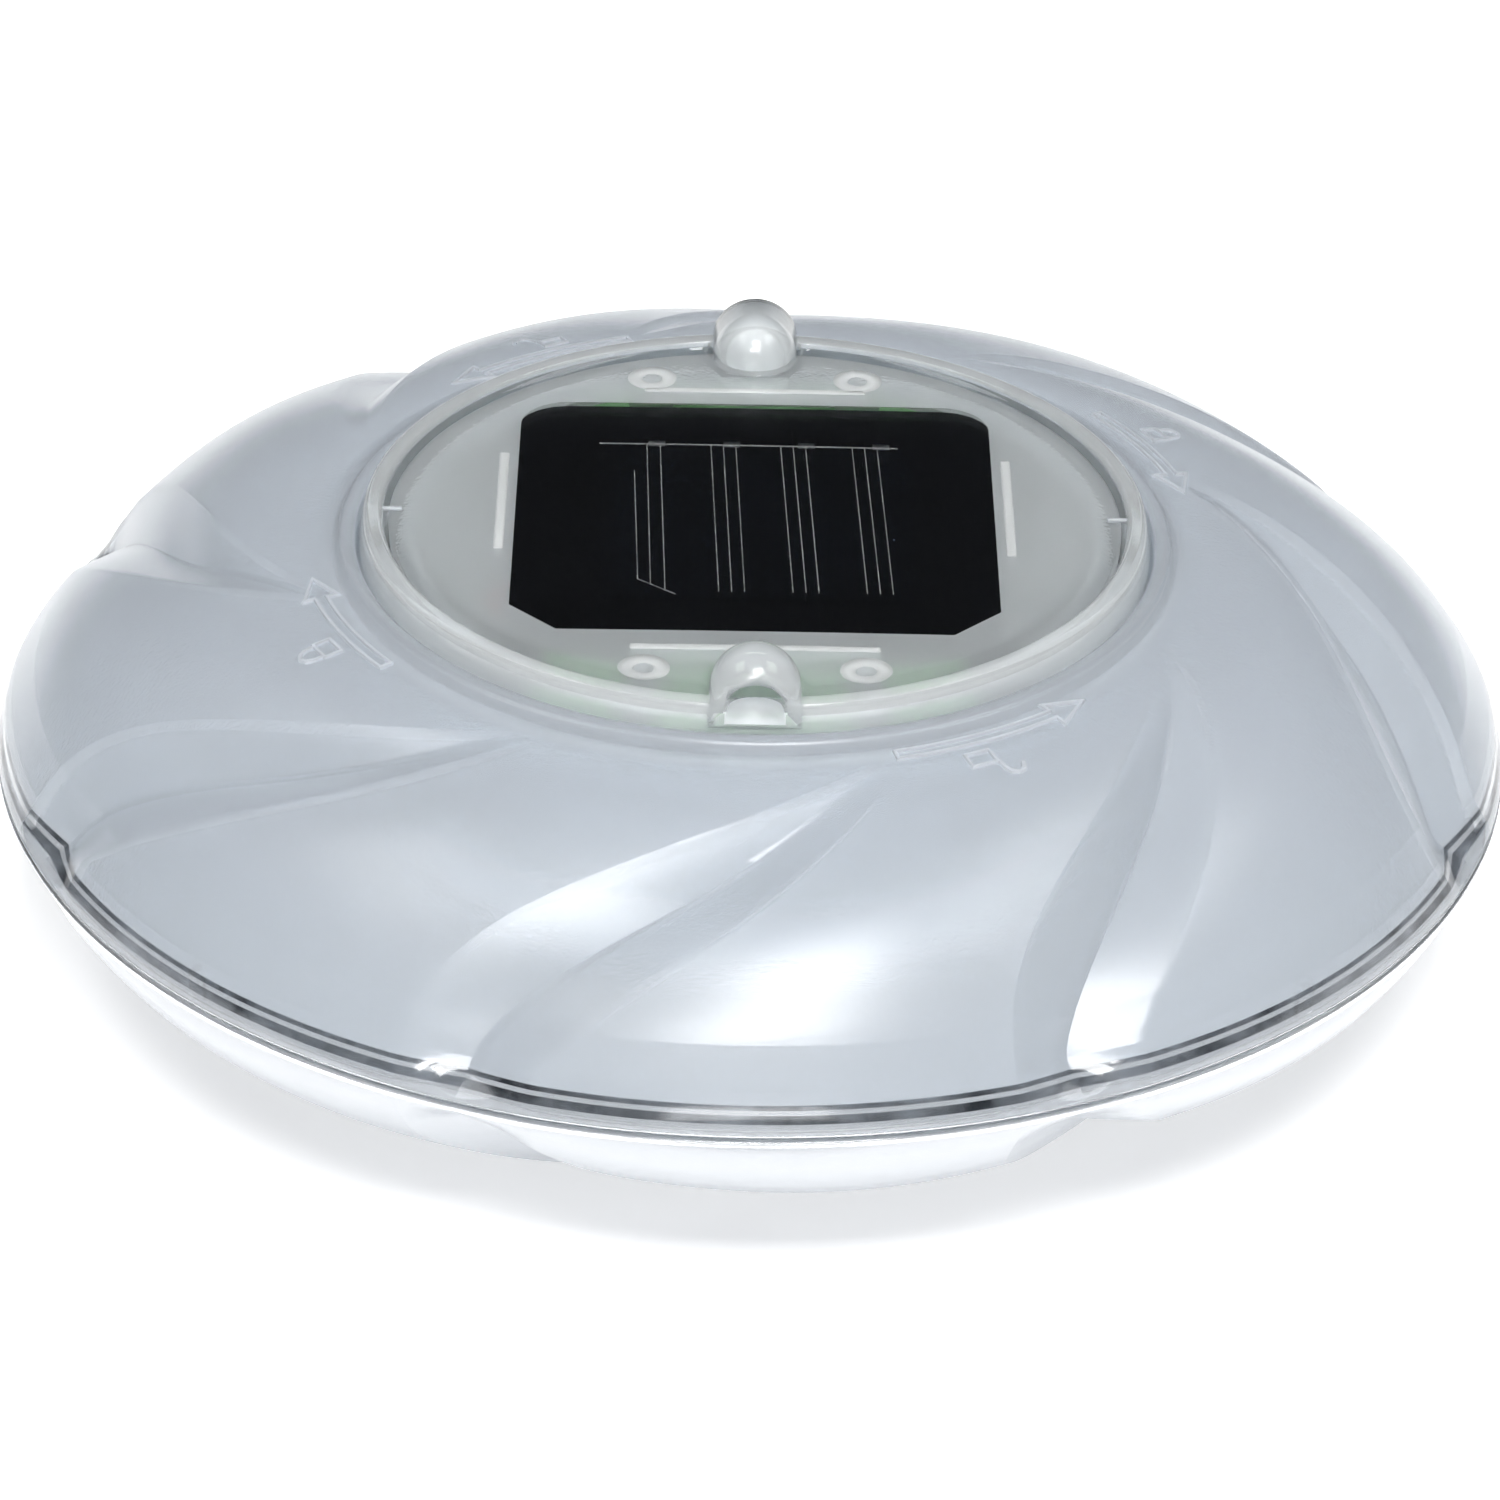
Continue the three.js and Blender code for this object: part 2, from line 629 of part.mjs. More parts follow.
let cap = addAll(capShell(), lug(1), lug(-1), ...ribs(), tick(0), tick(180));
cap = addAll(cap, ...bossSpots.map(([x, y]) => disc(BOSS_R, BOSS_BOTTOM, WINDOW_UNDER + 0.4, x, y, 20)));
const baseBoss = ([x, y]) => disc(BOSS_R, BASE_BOSS_BOTTOM, WINDOW_UNDER + 0.4, x, y, 20);
const baseBossPilot = ([x, y]) => disc(PILOT_R, BASE_BOSS_BOTTOM - 1, WINDOW_UNDER - 2, x, y, 12);
cap = addAll(cap, ...baseBossSpots.map(baseBoss));
cap = cutAll(cap, ...bossSpots.map(([x, y]) => disc(PILOT_R, BOSS_BOTTOM - 1, WINDOW_UNDER, x, y, 12)));
cap = cutAll(cap, ...baseBossSpots.map(baseBossPilot));
place('solar_cap', cap, CLEAR);

// ---------------------------------------------------------------- solar panel

const bondOutline = [
  [panelX - FIT, panelY - FIT],
  [-panelX + FIT, panelY - FIT],
  [-panelX + FIT, -panelY + FIT + BOND_CHAMFER],
  [-panelX + FIT + BOND_CHAMFER, -panelY + FIT],
  [panelX - FIT - BOND_CHAMFER, -panelY + FIT],
  [panelX - FIT, -panelY + FIT + BOND_CHAMFER],
];
const bondCorners = slab(roundedRectangle(panelX - FIT, panelY - FIT, PANEL_CORNER - FIT), 0, 200);
const bond = slab(bondOutline, WINDOW_UNDER - BOND_T, WINDOW_UNDER - 0.02).intersect(bondCorners);
place('panel_bond', bond, [0xdfe6e4, 0.1]);
const panelOutline = roundedRectangle(panelX, panelY, PANEL_CORNER);
place('panel_board', slab(panelOutline, PANEL_TOP - PANEL_T, PANEL_TOP), BLACK);

const cellPitch = CELL_AREA_W / CELL_COUNT;
for (let i = 0; i < CELL_COUNT; i += 1) {
  const middle = CELL_OFFSET_X + cellPitch * (i - (CELL_COUNT - 1) / 2);
  const half = (cellPitch - CELL_GAP) / 2;
  const edge = CELL_L / 2;
  const top = PANEL_TOP + FIT / 2 + CELL_T;
  const cell = box(middle - half, middle + half, -edge, edge, top - CELL_T, top);
  place(`solar_cell_${i + 1}`, cell, [0x14141c, 0.25]);
  const tab = box(middle - 0.2, middle + 1.8, edge + 0.2, edge + 1.4, PANEL_TOP + 0.05, top);
  place(`cell_tab_${i + 1}`, tab, STEEL);
}

// ---------------------------------------------------------------- circuit board and what it carries

const boardSlab = disc(BOARD_R, BOARD_BOTTOM, BOARD_TOP, 0, 0, 64).intersect(
  box(-BOARD_W / 2, BOARD_W / 2, -BOARD_R - 1, BOARD_R + 1, 0, 200),
);
const boardHole = ([x, y]) => disc(SCREW_R + LOOSE, BOARD_BOTTOM - 1, BOARD_TOP + 1, x, y, 12);
const boardHoles = bossSpots.map(boardHole);
place('circuit_board', cutAll(boardSlab, ...boardHoles), [0x3f9a4a, 0.5]);
bossSpots.forEach(([x, y], i) => {
  place(`board_screw_${i + 1}`, screw(x, y, BOARD_BOTTOM - 0.05, BOARD_T + 3), STEEL);
});

const LED_R = 2.5;
const ledSpots = [
  [-17, -19],
  [17, -19],
  [17, 19],
  [-17, 19],
];
ledSpots.forEach(([x, y], i) => {
  const top = BOARD_BOTTOM - 0.05;
  const dome = Array.from({ length: 5 }, (_, k) => {
    const p = polar(LED_R, -90 + 22.5 * k, 0);
    return [Math.max(p.x, 0), top - 5.5 + p.y];
  });
  dome[0][0] = 0;
  const lens = turned([...dome, [LED_R, top - 1], [LED_R + 0.4, top - 1], [LED_R + 0.4, top], [0, top]], 16);
  place(`led_${i + 1}`, lens.translate(x, y, 0), [0xf4f6f0, 0.15]);
});
place('controller_chip', box(-3, 3, -2.4, 2.4, BOARD_BOTTOM - 1.65, BOARD_BOTTOM - 0.05), [0x18181a, 0.5]);
place('inductor', disc(3, BOARD_BOTTOM - 5.05, BOARD_BOTTOM - 0.05, 0, 11, 16), [0x3a2c22, 0.5]);
place('capacitor', disc(2.5, BOARD_BOTTOM - 7.05, BOARD_BOTTOM - 0.05, 0, -11, 16), [0x20283a, 0.4]);

// ---------------------------------------------------------------- module base with bayonet tabs

function cup() {
  return turned(
    [
      [0, CUP_BOTTOM],
      [CUP_R, CUP_BOTTOM],
      [CUP_R, FLANGE_BOTTOM],
      [FLANGE_R, FLANGE_BOTTOM],
      [FLANGE_R, GROOVE_BOTTOM],
      [GROOVE_R, GROOVE_BOTTOM],
      [GROOVE_R, GROOVE_TOP],
      [FLANGE_R, GROOVE_TOP],
      [FLANGE_R, FLANGE_TOP],
      [SPIGOT_R, FLANGE_TOP],
      [SPIGOT_R, SPIGOT_TOP],
      [CUP_IN_R, SPIGOT_TOP],
      [CUP_IN_R, CUP_FLOOR],
      [0, CUP_FLOOR],
    ],
    64,
  );
}

const tabs = bayonetAngles.map((angle) =>
  sector(FLANGE_R, CUP_R - 1, angle - TAB_ANGLE / 2, angle + TAB_ANGLE / 2, TAB_BOTTOM, TAB_TOP),
);
const bayHalfL = BAY_LEN / 2;
const bayOutside = box(
  -bayHalfL - BAY_WALL,
  bayHalfL + BAY_WALL,
  -BAY_HALF_W - BAY_WALL,
  BAY_HALF_W + BAY_WALL,
  CUP_BOTTOM + 0.5,
  BAY_CEILING + BAY_WALL,
);
const bayInside = box(-bayHalfL, bayHalfL, -BAY_HALF_W, BAY_HALF_W, CUP_BOTTOM - 1, BAY_CEILING);
const basePost = ([x, y]) => disc(BOSS_R + 1, CUP_BOTTOM + 0.5, BASE_BOSS_BOTTOM - FIT, x, y, 20);
const basePostHole = ([x, y]) => disc(SCREW_R + LOOSE, CUP_BOTTOM - 1, BASE_BOSS_BOTTOM + 1, x, y, 12);
const SCREW_WELL = 14;
const basePostWell = ([x, y]) => disc(SCREW_HEAD_R + FIT, CUP_BOTTOM - 1, CUP_BOTTOM + SCREW_WELL, x, y, 16);
const coverScrewSpots = [
  [-COVER_SCREW_X, -BAY_HALF_W - 1],
  [COVER_SCREW_X, BAY_HALF_W + 1],
];
const coverBoss = ([x, y]) => disc(BOSS_R, CUP_BOTTOM + 0.5, CUP_FLOOR + 4, x, y, 16);
const coverPilot = ([x, y]) => disc(PILOT_R, CUP_BOTTOM - 1, CUP_FLOOR + 2.6, x, y, 12);
const slotX = KNOB_W / 2 + LOOSE;
const slotY = KNOB_L / 2 + LOOSE;
const switchSlot = box(
  -slotX,
  slotX + KNOB_TRAVEL,
  SWITCH_Y - slotY,
  SWITCH_Y + slotY,
  CUP_BOTTOM - 1,
  CUP_FLOOR + 1,
);

let base = addAll(cup(), ...tabs, bayOutside);
base = addAll(base, ...baseBossSpots.map(basePost), ...coverScrewSpots.map(coverBoss));
base = cutAll(base, bayInside, switchSlot);
base = cutAll(base, ...baseBossSpots.map(basePostHole), ...baseBossSpots.map(basePostWell));
base = cutAll(base, ...coverScrewSpots.map(coverPilot));
place('module_base', base, WHITE);
baseBossSpots.forEach(([x, y], i) => {
  const seat = CUP_BOTTOM + SCREW_WELL - 0.05;
  place(`base_screw_${i + 1}`, screw(x, y, seat, BASE_BOSS_BOTTOM - seat + 6), STEEL);
});

const sealRing = new THREE.TorusGeometry(SEAL_RING_R, SEAL_R, 8, 56);
place('seal_ring', body(sealRing.translate(0, 0, (GROOVE_TOP + GROOVE_BOTTOM) / 2)), [0x2a2a2c, 0.7]);

// ---------------------------------------------------------------- battery, contacts and cover

const batteryProfile = [
  [0, 0],
  [CELL_R - 1.2, 0],
  [CELL_R - 0.6, 0.3],
  [CELL_R, 0.8],
  [CELL_R, CELL_LEN - 2],
  [CELL_R - 0.8, CELL_LEN - 1.2],
  [2.7, CELL_LEN - 1.2],
  [2.7, CELL_LEN],
  [0, CELL_LEN],
];
const batteryStart = bayHalfL - FIT - CONTACT_T - FIT / 2 - CELL_LEN;
const battery = turned(batteryProfile, 24).rotate(0, 90, 0).translate(batteryStart, 0, CELL_Z);
place('battery', battery, [0x2f7d46, 0.35]);

const contact = (x) => box(x, x + CONTACT_T, -4.5, 4.5, CELL_Z - 4.5, CELL_Z + 4.5);
place('contact_plus', contact(bayHalfL - FIT - CONTACT_T), STEEL);
place('contact_minus', contact(-bayHalfL + FIT), STEEL);

const springStart = -bayHalfL + FIT + CONTACT_T + 0.45;
const springEnd = batteryStart - 0.45;
const springTurns = 2;
const springSteps = 10;
const springPoints = Array.from({ length: springTurns * springSteps + 1 }, (_, i) => {
  const f = i / (springTurns * springSteps);
  const p = polar(4 - 1.6 * f, 360 * springTurns * f, 0);
  return [springStart + (springEnd - springStart) * f, p.x, CELL_Z + p.y];
});
place('contact_spring', wire(springPoints, 0.35, 32, 3), STEEL);

const coverOutline = roundedRectangle(COVER_L / 2, COVER_W / 2, 3);
const coverPlate = slab(coverOutline, COVER_TOP - COVER_T, COVER_TOP);
const coverHoles = coverScrewSpots.map(([x, y]) =>
  disc(SCREW_R + LOOSE, COVER_TOP - COVER_T - 1, COVER_TOP + 1, x, y, 12),
);
place('battery_cover', cutAll(coverPlate, ...coverHoles), WHITE);
coverScrewSpots.forEach(([x, y], i) => {
  place(`cover_screw_${i + 1}`, screw(x, y, COVER_TOP - COVER_T - 0.05, COVER_T + 4.4), STEEL);
});

// ---------------------------------------------------------------- slide switch

const switchBottom = CUP_FLOOR + FIT;
const switchTop = switchBottom + 5;
const pocket = 1.4;
const switchCase = box(-6, 6 + KNOB_TRAVEL, SWITCH_Y - 4, SWITCH_Y + 4, switchBottom, switchTop).subtract(
  box(-slotX, slotX + KNOB_TRAVEL, SWITCH_Y - slotY, SWITCH_Y + slotY, 0, switchBottom + pocket),
);
place('switch_body', switchCase, [0x2b2b2e, 0.5]);
const knobTop = switchBottom + pocket - LOOSE;
const knobY = KNOB_L / 2;
const knob = box(-KNOB_W / 2, KNOB_W / 2, SWITCH_Y - knobY, SWITCH_Y + knobY, CUP_BOTTOM - 1.2, knobTop);
place('switch_knob', knob, [0x2b2b2e, 0.6]);

// ---------------------------------------------------------------- wires

const wireLevel = PANEL_TOP - PANEL_T - WIRE_R - 0.1;
const boardEdge = BOARD_W / 2;
const joinLevel = BOARD_BOTTOM - WIRE_R - 0.1;
function panelWire(y) {
  return wire([
    [-panelX + 3, y, wireLevel],
    [-panelX, y - 0.6, wireLevel],
    [-panelX - 2.2, y - 1.6, (wireLevel + joinLevel) / 2],
    [-panelX, y - 2.4, joinLevel],
    [-boardEdge + 2, y - 2.8, joinLevel],
  ]);
}
place('panel_wire_red', panelWire(-12), [0xc0282a, 0.45]);
place('panel_wire_black', panelWire(-6), BLACK);
const batteryWire = (side) =>
  wire([
    [side * (bayHalfL - 2), 0, BAY_CEILING + BAY_WALL + 0.8],
    [side * (bayHalfL - 1), 2, BAY_CEILING + BAY_WALL + 4],
    [side * (boardEdge - 4), 5, joinLevel - 3],
    [side * (boardEdge - 6), 7, joinLevel - 0.2],
  ]);
place('battery_wire_red', batteryWire(1), [0xc0282a, 0.45]);
place('battery_wire_black', batteryWire(-1), BLACK);

export default part;
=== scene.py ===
import math

import bmesh
import bpy
import numpy as np
from mathutils import Matrix, Vector


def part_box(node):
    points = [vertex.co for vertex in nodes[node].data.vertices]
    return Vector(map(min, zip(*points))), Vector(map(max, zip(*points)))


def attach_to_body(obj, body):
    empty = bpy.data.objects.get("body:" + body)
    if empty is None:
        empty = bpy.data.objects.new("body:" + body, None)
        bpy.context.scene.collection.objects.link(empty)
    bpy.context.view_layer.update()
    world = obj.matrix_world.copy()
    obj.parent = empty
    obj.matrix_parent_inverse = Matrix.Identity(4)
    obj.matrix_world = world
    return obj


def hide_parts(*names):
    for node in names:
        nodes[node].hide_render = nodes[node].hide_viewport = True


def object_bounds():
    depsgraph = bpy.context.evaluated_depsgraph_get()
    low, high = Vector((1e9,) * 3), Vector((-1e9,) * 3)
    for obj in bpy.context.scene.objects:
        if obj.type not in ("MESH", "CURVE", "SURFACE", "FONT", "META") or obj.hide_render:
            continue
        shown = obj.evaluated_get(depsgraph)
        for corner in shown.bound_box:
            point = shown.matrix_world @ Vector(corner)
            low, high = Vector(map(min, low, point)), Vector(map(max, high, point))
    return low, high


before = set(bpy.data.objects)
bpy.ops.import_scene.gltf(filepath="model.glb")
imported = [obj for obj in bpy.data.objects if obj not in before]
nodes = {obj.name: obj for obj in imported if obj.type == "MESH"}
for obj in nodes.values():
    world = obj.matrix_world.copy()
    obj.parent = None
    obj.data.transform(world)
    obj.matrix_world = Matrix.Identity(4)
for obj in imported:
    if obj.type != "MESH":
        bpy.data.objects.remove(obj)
cad_low, cad_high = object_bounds()
MM = 0.001


# ------------------------------------------------------------------ sizes, in mm
def top(node):
    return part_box(node)[1].z / MM


def half_size(node):
    """Reach of a node along X and along Y, from the middle of the light."""
    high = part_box(node)[1]
    return high.x / MM, high.y / MM


FIT = 0.3  # clearance between parts fixed to each other
WALL = 2.2  # moulded wall of both shells
SEAM_GAP = 0.3  # joint line between the shells
RIM_R = cad_high.x / MM
SEAM_Z = (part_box("upper_shell")[0].z / MM + top("lower_shell")) / 2
FOOT_R = 34  # flat base

MODULE_CLEAR = 0.45  # radial clearance of the module in the collar
COLLAR_PROUD = 0.5  # collar edge above the dome's shoulder
COLLAR_DEPTH = 21.8
COLLAR_TOP = top("upper_shell")
COLLAR_LOW = COLLAR_TOP - COLLAR_DEPTH
DOME_H = COLLAR_TOP - COLLAR_PROUD - SEAM_Z

CAP_RIM_W = 2.4
CAP_RISE = 3  # cap rim above the collar edge
WINDOW_RECESS = 0.8  # window edge below the rim
WINDOW_CROWN = 0.5
CAP_R = half_size("solar_cap")[0]
CAP_TOP = COLLAR_TOP + CAP_RISE
CAP_TOP_R = CAP_R - MODULE_CLEAR
SKIRT_IN_R = CAP_R - CAP_RIM_W
COLLAR_IN = CAP_R + MODULE_CLEAR
COLLAR_OUT = COLLAR_IN + WALL
WINDOW_R = CAP_TOP_R - CAP_RIM_W
WINDOW_EDGE_Z = CAP_TOP - WINDOW_RECESS
PANEL_X, PANEL_Y = half_size("panel_board")
BOND_X, BOND_Y = half_size("panel_bond")
WINDOW_UNDER = top("panel_bond") + 0.02

SPIGOT_H = 4  # module base above its flange
SEAL_GROOVE_H = 5.4  # flange of the module base, with its seal groove
LEDGE_T = 2.4  # bayonet ledges of the float
FLANGE_TOP = top("module_base") - SPIGOT_H
SKIRT_BOTTOM = FLANGE_TOP + FIT
LEDGE_TOP = FLANGE_TOP - SEAL_GROOVE_H - FIT

LUG_R = 5.2  # hooded lugs of the cap
LUG_WALL = 1.6

LOBES = 8
LOBE_PHASE = 17  # angle of the first valley's inner tip
VALLEY_DEPTH = 3.1
PILLOW = 0.7  # crown of each lobe
TIP_R = COLLAR_OUT + 3.7
VALLEY_END_R = RIM_R - 2


# ------------------------------------------------------------------ mesh helpers
def object_of(name, mesh, material=None, smooth=True):
    """Link a mesh into the scene as an object."""
    ob = bpy.data.objects.new(name, mesh)
    bpy.context.scene.collection.objects.link(ob)
    for poly in mesh.polygons:
        poly.use_smooth = smooth
    if material is not None:
        mesh.materials.append(material)
    return ob


def new_object(name, verts, faces, material=None, smooth=True):
    mesh = bpy.data.meshes.new(name)
    mesh.from_pydata([tuple(v) for v in verts], [], [tuple(f) for f in faces])
    mesh.update()
    bm = bmesh.new()
    bm.from_mesh(mesh)
    bmesh.ops.recalc_face_normals(bm, faces=bm.faces)
    bm.to_mesh(mesh)
    bm.free()
    return object_of(name, mesh, material, smooth)


def object_from_bmesh(name, bm, material=None):
    mesh = bpy.data.meshes.new(name)
    bm.to_mesh(mesh)
    bm.free()
    return object_of(name, mesh, material)


def in_metres(x, y, z):
    return (x * MM, y * MM, z * MM)


def around(r, angle, z):
    """Point in metres at a radius and height in mm and an angle in radians."""
    return (r * MM * math.cos(angle), r * MM * math.sin(angle), z * MM)


def turned(name, profile, segments=128, material=None, closed=True):
    """Body of revolution from (r, z) points in mm; a point on the axis closes an end."""
    verts, rings = [], []
    for r, z in profile:
        start = len(verts)
        count = 1 if r < 1e-6 else segments
        verts += [around(r, 2 * math.pi * k / segments, z) for k in range(count)]
        rings.append(list(range(start, start + count)))
    faces = []
    count = len(rings) if closed and len(rings[0]) > 1 else len(rings) - 1
    for i in range(count):
        a, b = rings[i], rings[(i + 1) % len(rings)]
        for k in range(segments):
            m = (k + 1) % segments
            quad = [a[k % len(a)], a[m % len(a)], b[m % len(b)], b[k % len(b)]]
            quad = list(dict.fromkeys(quad))
            if len(quad) > 2:
                faces.append(quad)
    return new_object(name, verts, faces, material)


def joined(name, pieces, material, smooth=False):
    """One object from several (vertices, faces) lists."""
    verts, faces = [], []
    for v, f in pieces:
        faces += [tuple(i + len(verts) for i in face) for face in f]
        verts += v
    return new_object(name, verts, faces, material, smooth)


def attach(ob, body):
    """Attach a piece to the body that it moves with."""
    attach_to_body(ob, body)


def smoothstep(x):
    x = np.clip(x, 0, 1)
    return x * x * (3 - 2 * x)


# ------------------------------------------------------------------ materials
def object_texture(material, kind, scale):
    """Texture node over the object's own coordinates."""
    tree = material.node_tree
    coord = tree.nodes.new("ShaderNodeTexCoord")
    texture = tree.nodes.new("ShaderNodeTex" + kind)
    texture.inputs["Scale"].default_value = scale
    tree.links.new(coord.outputs["Object"], texture.inputs["Vector"])
    return texture


def add_relief(material, scale, strength, depth, kind="Noise"):
    """Fine surface relief; depth is in metres."""
    tree = material.node_tree
    texture = object_texture(material, kind, scale)
    node = tree.nodes.new("ShaderNodeBump")
    node.inputs["Strength"].default_value = strength
    node.inputs["Distance"].default_value = depth
    height = texture.outputs["Distance" if kind == "Voronoi" else "Fac"]
    tree.links.new(height, node.inputs["Height"])
    tree.links.new(node.outputs["Normal"], tree.nodes["Principled BSDF"].inputs["Normal"])


def add_mottle(material, dark, light, scale):
    """Base colour that varies between two shades over the surface."""
    tree = material.node_tree
    texture = object_texture(material, "Noise", scale)
    texture.inputs["Detail"].default_value = 4
    ramp = tree.nodes.new("ShaderNodeValToRGB")
    for element, position, shade in zip(ramp.color_ramp.elements, (0.3, 0.7), (dark, light)):
        element.position = position
        element.color = (*shade, 1)
    tree.links.new(texture.outputs["Fac"], ramp.inputs["Fac"])
    tree.links.new(ramp.outputs["Color"], tree.nodes["Principled BSDF"].inputs["Base Color"])


def finish(name, color, roughness, relief=None, **sockets):
    """Material: color is (r, g, b), or (dark, light, scale) where it is mottled."""
    material = bpy.data.materials.new(name)
    material.use_nodes = True
    shader = material.node_tree.nodes["Principled BSDF"]
    shader.inputs["Roughness"].default_value = roughness
    for key, value in sockets.items():
        shader.inputs[key.replace("_", " ")].default_value = value
    if isinstance(color[0], tuple):
        add_mottle(material, *color)
    else:
        shader.inputs["Base Color"].default_value = (*color, 1)
    if relief is not None:
        add_relief(material, *relief)
    return material


def clear(transmission, ior=1.45):
    return {"IOR": ior, "Transmission_Weight": transmission}


ACRYLIC = 1.49
POLISHED = (260, 0.03, 0.00002)
INSULATION = (1500, 0.12, 0.00003)

frosted = finish("frosted_shell", (0.87, 0.925, 0.985), 0.27, (2200, 0.35, 0.00008), **clear(0.74))
# lower shell: the frosted plastic of the upper shell in a much darker colour, painted shade on the side
# that faces down
frosted_low_painted_shade = finish("frosted_lower_painted_shade", (0.27, 0.295, 0.33), 0.28, (2600, 0.2, 0.00006), **clear(0.3))
rim_clear = finish("clear_rim", (0.93, 0.96, 0.99), 0.14, (900, 0.15, 0.00006), **clear(0.8, ACRYLIC))
# dark rim bands: clear plastic tinted near-black to grey, a painted reflection of dark surroundings
rim_painted_reflection = finish("rim_painted_reflection_band", ((0.03, 0.033, 0.037), (0.55, 0.58, 0.62), 170), 0.12, **clear(0.9, ACRYLIC))
mark_line = finish("mark_edges", (0.92, 0.955, 0.99), 0.22, (2200, 0.2, 0.00005), **clear(0.69))
pin_clear = finish("pin_clear", (0.95, 0.97, 0.98), 0.15, (1200, 0.1, 0.00003), **clear(0.95))

cap_gloss = finish("cap_outer", (0.95, 0.98, 0.99), 0.18, (1500, 0.1, 0.00004), **clear(0.78))
cap_frost = finish("cap_frosted", (0.93, 0.965, 0.985), 0.4, (1900, 0.3, 0.00006), **clear(0.52))
cap_clear = finish("cap_bonded", (0.97, 0.98, 0.98), 0.02, POLISHED, **clear(1.0))
window_clear = finish("cap_window", (0.96, 0.98, 0.98), 0.04, POLISHED, **clear(1.0))
# ribs and bosses of the clear cap: near-opaque white, a painted highlight standing in for the bright lines
# the ribs show under the frosted top
rib_painted_highlight = finish("cap_ribs_painted_highlight", (0.98, 0.99, 0.99), 0.3, (1400, 0.15, 0.00004), **clear(0.05))
bond_clear = finish("panel_bond", (0.97, 0.98, 0.98), 0.03, POLISHED, **clear(1.0))

panel_black = finish(
    "panel_black",
    ((0.003, 0.003, 0.005), (0.006, 0.006, 0.008), 240),
    0.25,
    (1600, 0.12, 0.00003),
    Specular_IOR_Level=0.3,
)
cell_black = finish(
    "cell_silicon",
    ((0.003, 0.004, 0.007), (0.006, 0.008, 0.014), 110),
    0.18,
    (420, 0.06, 0.00002, "Voronoi"),
    Specular_IOR_Level=0.3,
)
silver = finish("silver_lines", ((0.7, 0.7, 0.68), (0.86, 0.86, 0.84), 420), 0.5)
steel = finish("steel", (0.62, 0.63, 0.65), 0.28, (900, 0.1, 0.00003), Metallic=1.0)
copper = finish(
    "copper", ((0.64, 0.27, 0.14), (0.78, 0.38, 0.22), 260), 0.35, (1300, 0.15, 0.00003), Metallic=1.0
)
board_green = finish("board_green", ((0.26, 0.56, 0.25), (0.34, 0.64, 0.31), 160), 0.4)
led_clear = finish("led_lens", (0.95, 0.96, 0.9), 0.08, (500, 0.06, 0.00003), **clear(0.9, 1.5))
dark_part = finish("component", (0.03, 0.03, 0.034), 0.5, (1200, 0.2, 0.00004))
base_white = finish("module_base", (0.84, 0.86, 0.86), 0.42, (700, 0.1, 0.00004))
rubber = finish("seal_rubber", (0.35, 0.37, 0.37), 0.7, (900, 0.2, 0.00004))
battery_green = finish("battery_sleeve", ((0.045, 0.28, 0.09), (0.055, 0.32, 0.11), 90), 0.3)
wire_red = finish("wire_red", ((0.48, 0.017, 0.017), (0.6, 0.025, 0.022), 300), 0.4, INSULATION)
wire_black = finish("wire_black", ((0.011, 0.011, 0.011), (0.02, 0.02, 0.021), 300), 0.4, INSULATION)

FINISHES = {  # by the longest start of the node's name
    "base_screw": steel,
    "board_screw": steel,
    "cover_screw": steel,
    "contact": steel,
    "cell_tab": steel,
    "led": led_clear,
    "solar_cell": cell_black,
    "battery": battery_green,
    "battery_cover": base_white,
    "battery_wire_red": wire_red,
    "battery_wire_black": wire_black,
    "panel_wire_red": wire_red,
    "panel_wire_black": wire_black,
    "panel_bond": bond_clear,
    "panel_board": panel_black,
    "circuit_board": board_green,
    "controller_chip": dark_part,
    "capacitor": dark_part,
    "inductor": copper,
    "switch": dark_part,
    "module_base": base_white,
    "seal_ring": rubber,
    "shell_pin": pin_clear,
}


def dress(name, material):
    """Give a CAD node its material, with flat facets."""
    mesh = nodes[name].data
    mesh.materials.clear()
    mesh.materials.append(material)
    for poly in mesh.polygons:
        poly.use_smooth = False


for name in nodes:
    starts = [start for start in FINISHES if name.startswith(start)]
    if starts:
        dress(name, FINISHES[max(starts, key=len)])


# ------------------------------------------------------------------ swirled shells
PETAL_COLS = 30
FACET_COLS = 8
LOBE_COLS = PETAL_COLS + 2 * FACET_COLS
COLS = LOBES * LOBE_COLS
PITCH = 360 / LOBES

CROWN = (COLLAR_OUT - WALL / 2, DOME_H, 0.67)  # inner radius, height and power of the upper crown
BOWL = (FOOT_R, SEAM_Z - SEAM_GAP / 2, 0.57)  # the same for the lower shell
BEVEL = (62.5, 73.0)  # part of the upper crown, in degrees of its sweep, that is a flat bevel
CLEAR_FROM = 76  # clear rim of the upper shell
# rim rows, in degrees of the sweep, that take the painted reflection of dark surroundings
PAINTED_REFLECTION_BANDS = ((76.5, 78), (79.5, 82.5))
LOW_CLEAR_FROM = 87
LIP = 0.35  # small chamfer that ends each rim at the seam
COLLAR_OUTER_EDGE = ((0.05, 0.42), (-0.12, 0.22), (-0.35, 0.06), (-0.65, 0))  # outward, down
COLLAR_INNER_EDGE = ((0.45, 0), (0.15, 0.1), (0, 0.3), (0, 6))


def grid_faces(rows, cols):
    """Quads of a grid that closes on itself both ways."""
    faces = []
    for i in range(rows):
        j = (i + 1) % rows
        for k in range(cols):
            m = (k + 1) % cols
            faces.append((i * cols + k, i * cols + m, j * cols + m, j * cols + k))
    return faces


def valley_lines(r):
    """Angles of the near edge, floor and far edge of a valley at one radius."""
    t = min(1, max(0, (r - TIP_R) / (VALLEY_END_R - TIP_R)))
    return (
        -0.8 - 42 * (1 - (1 - t) ** 1.9),
        -38 * (1 - (1 - t) ** 1.3),
        0.8 - 33.5 * t**1.15,
    )


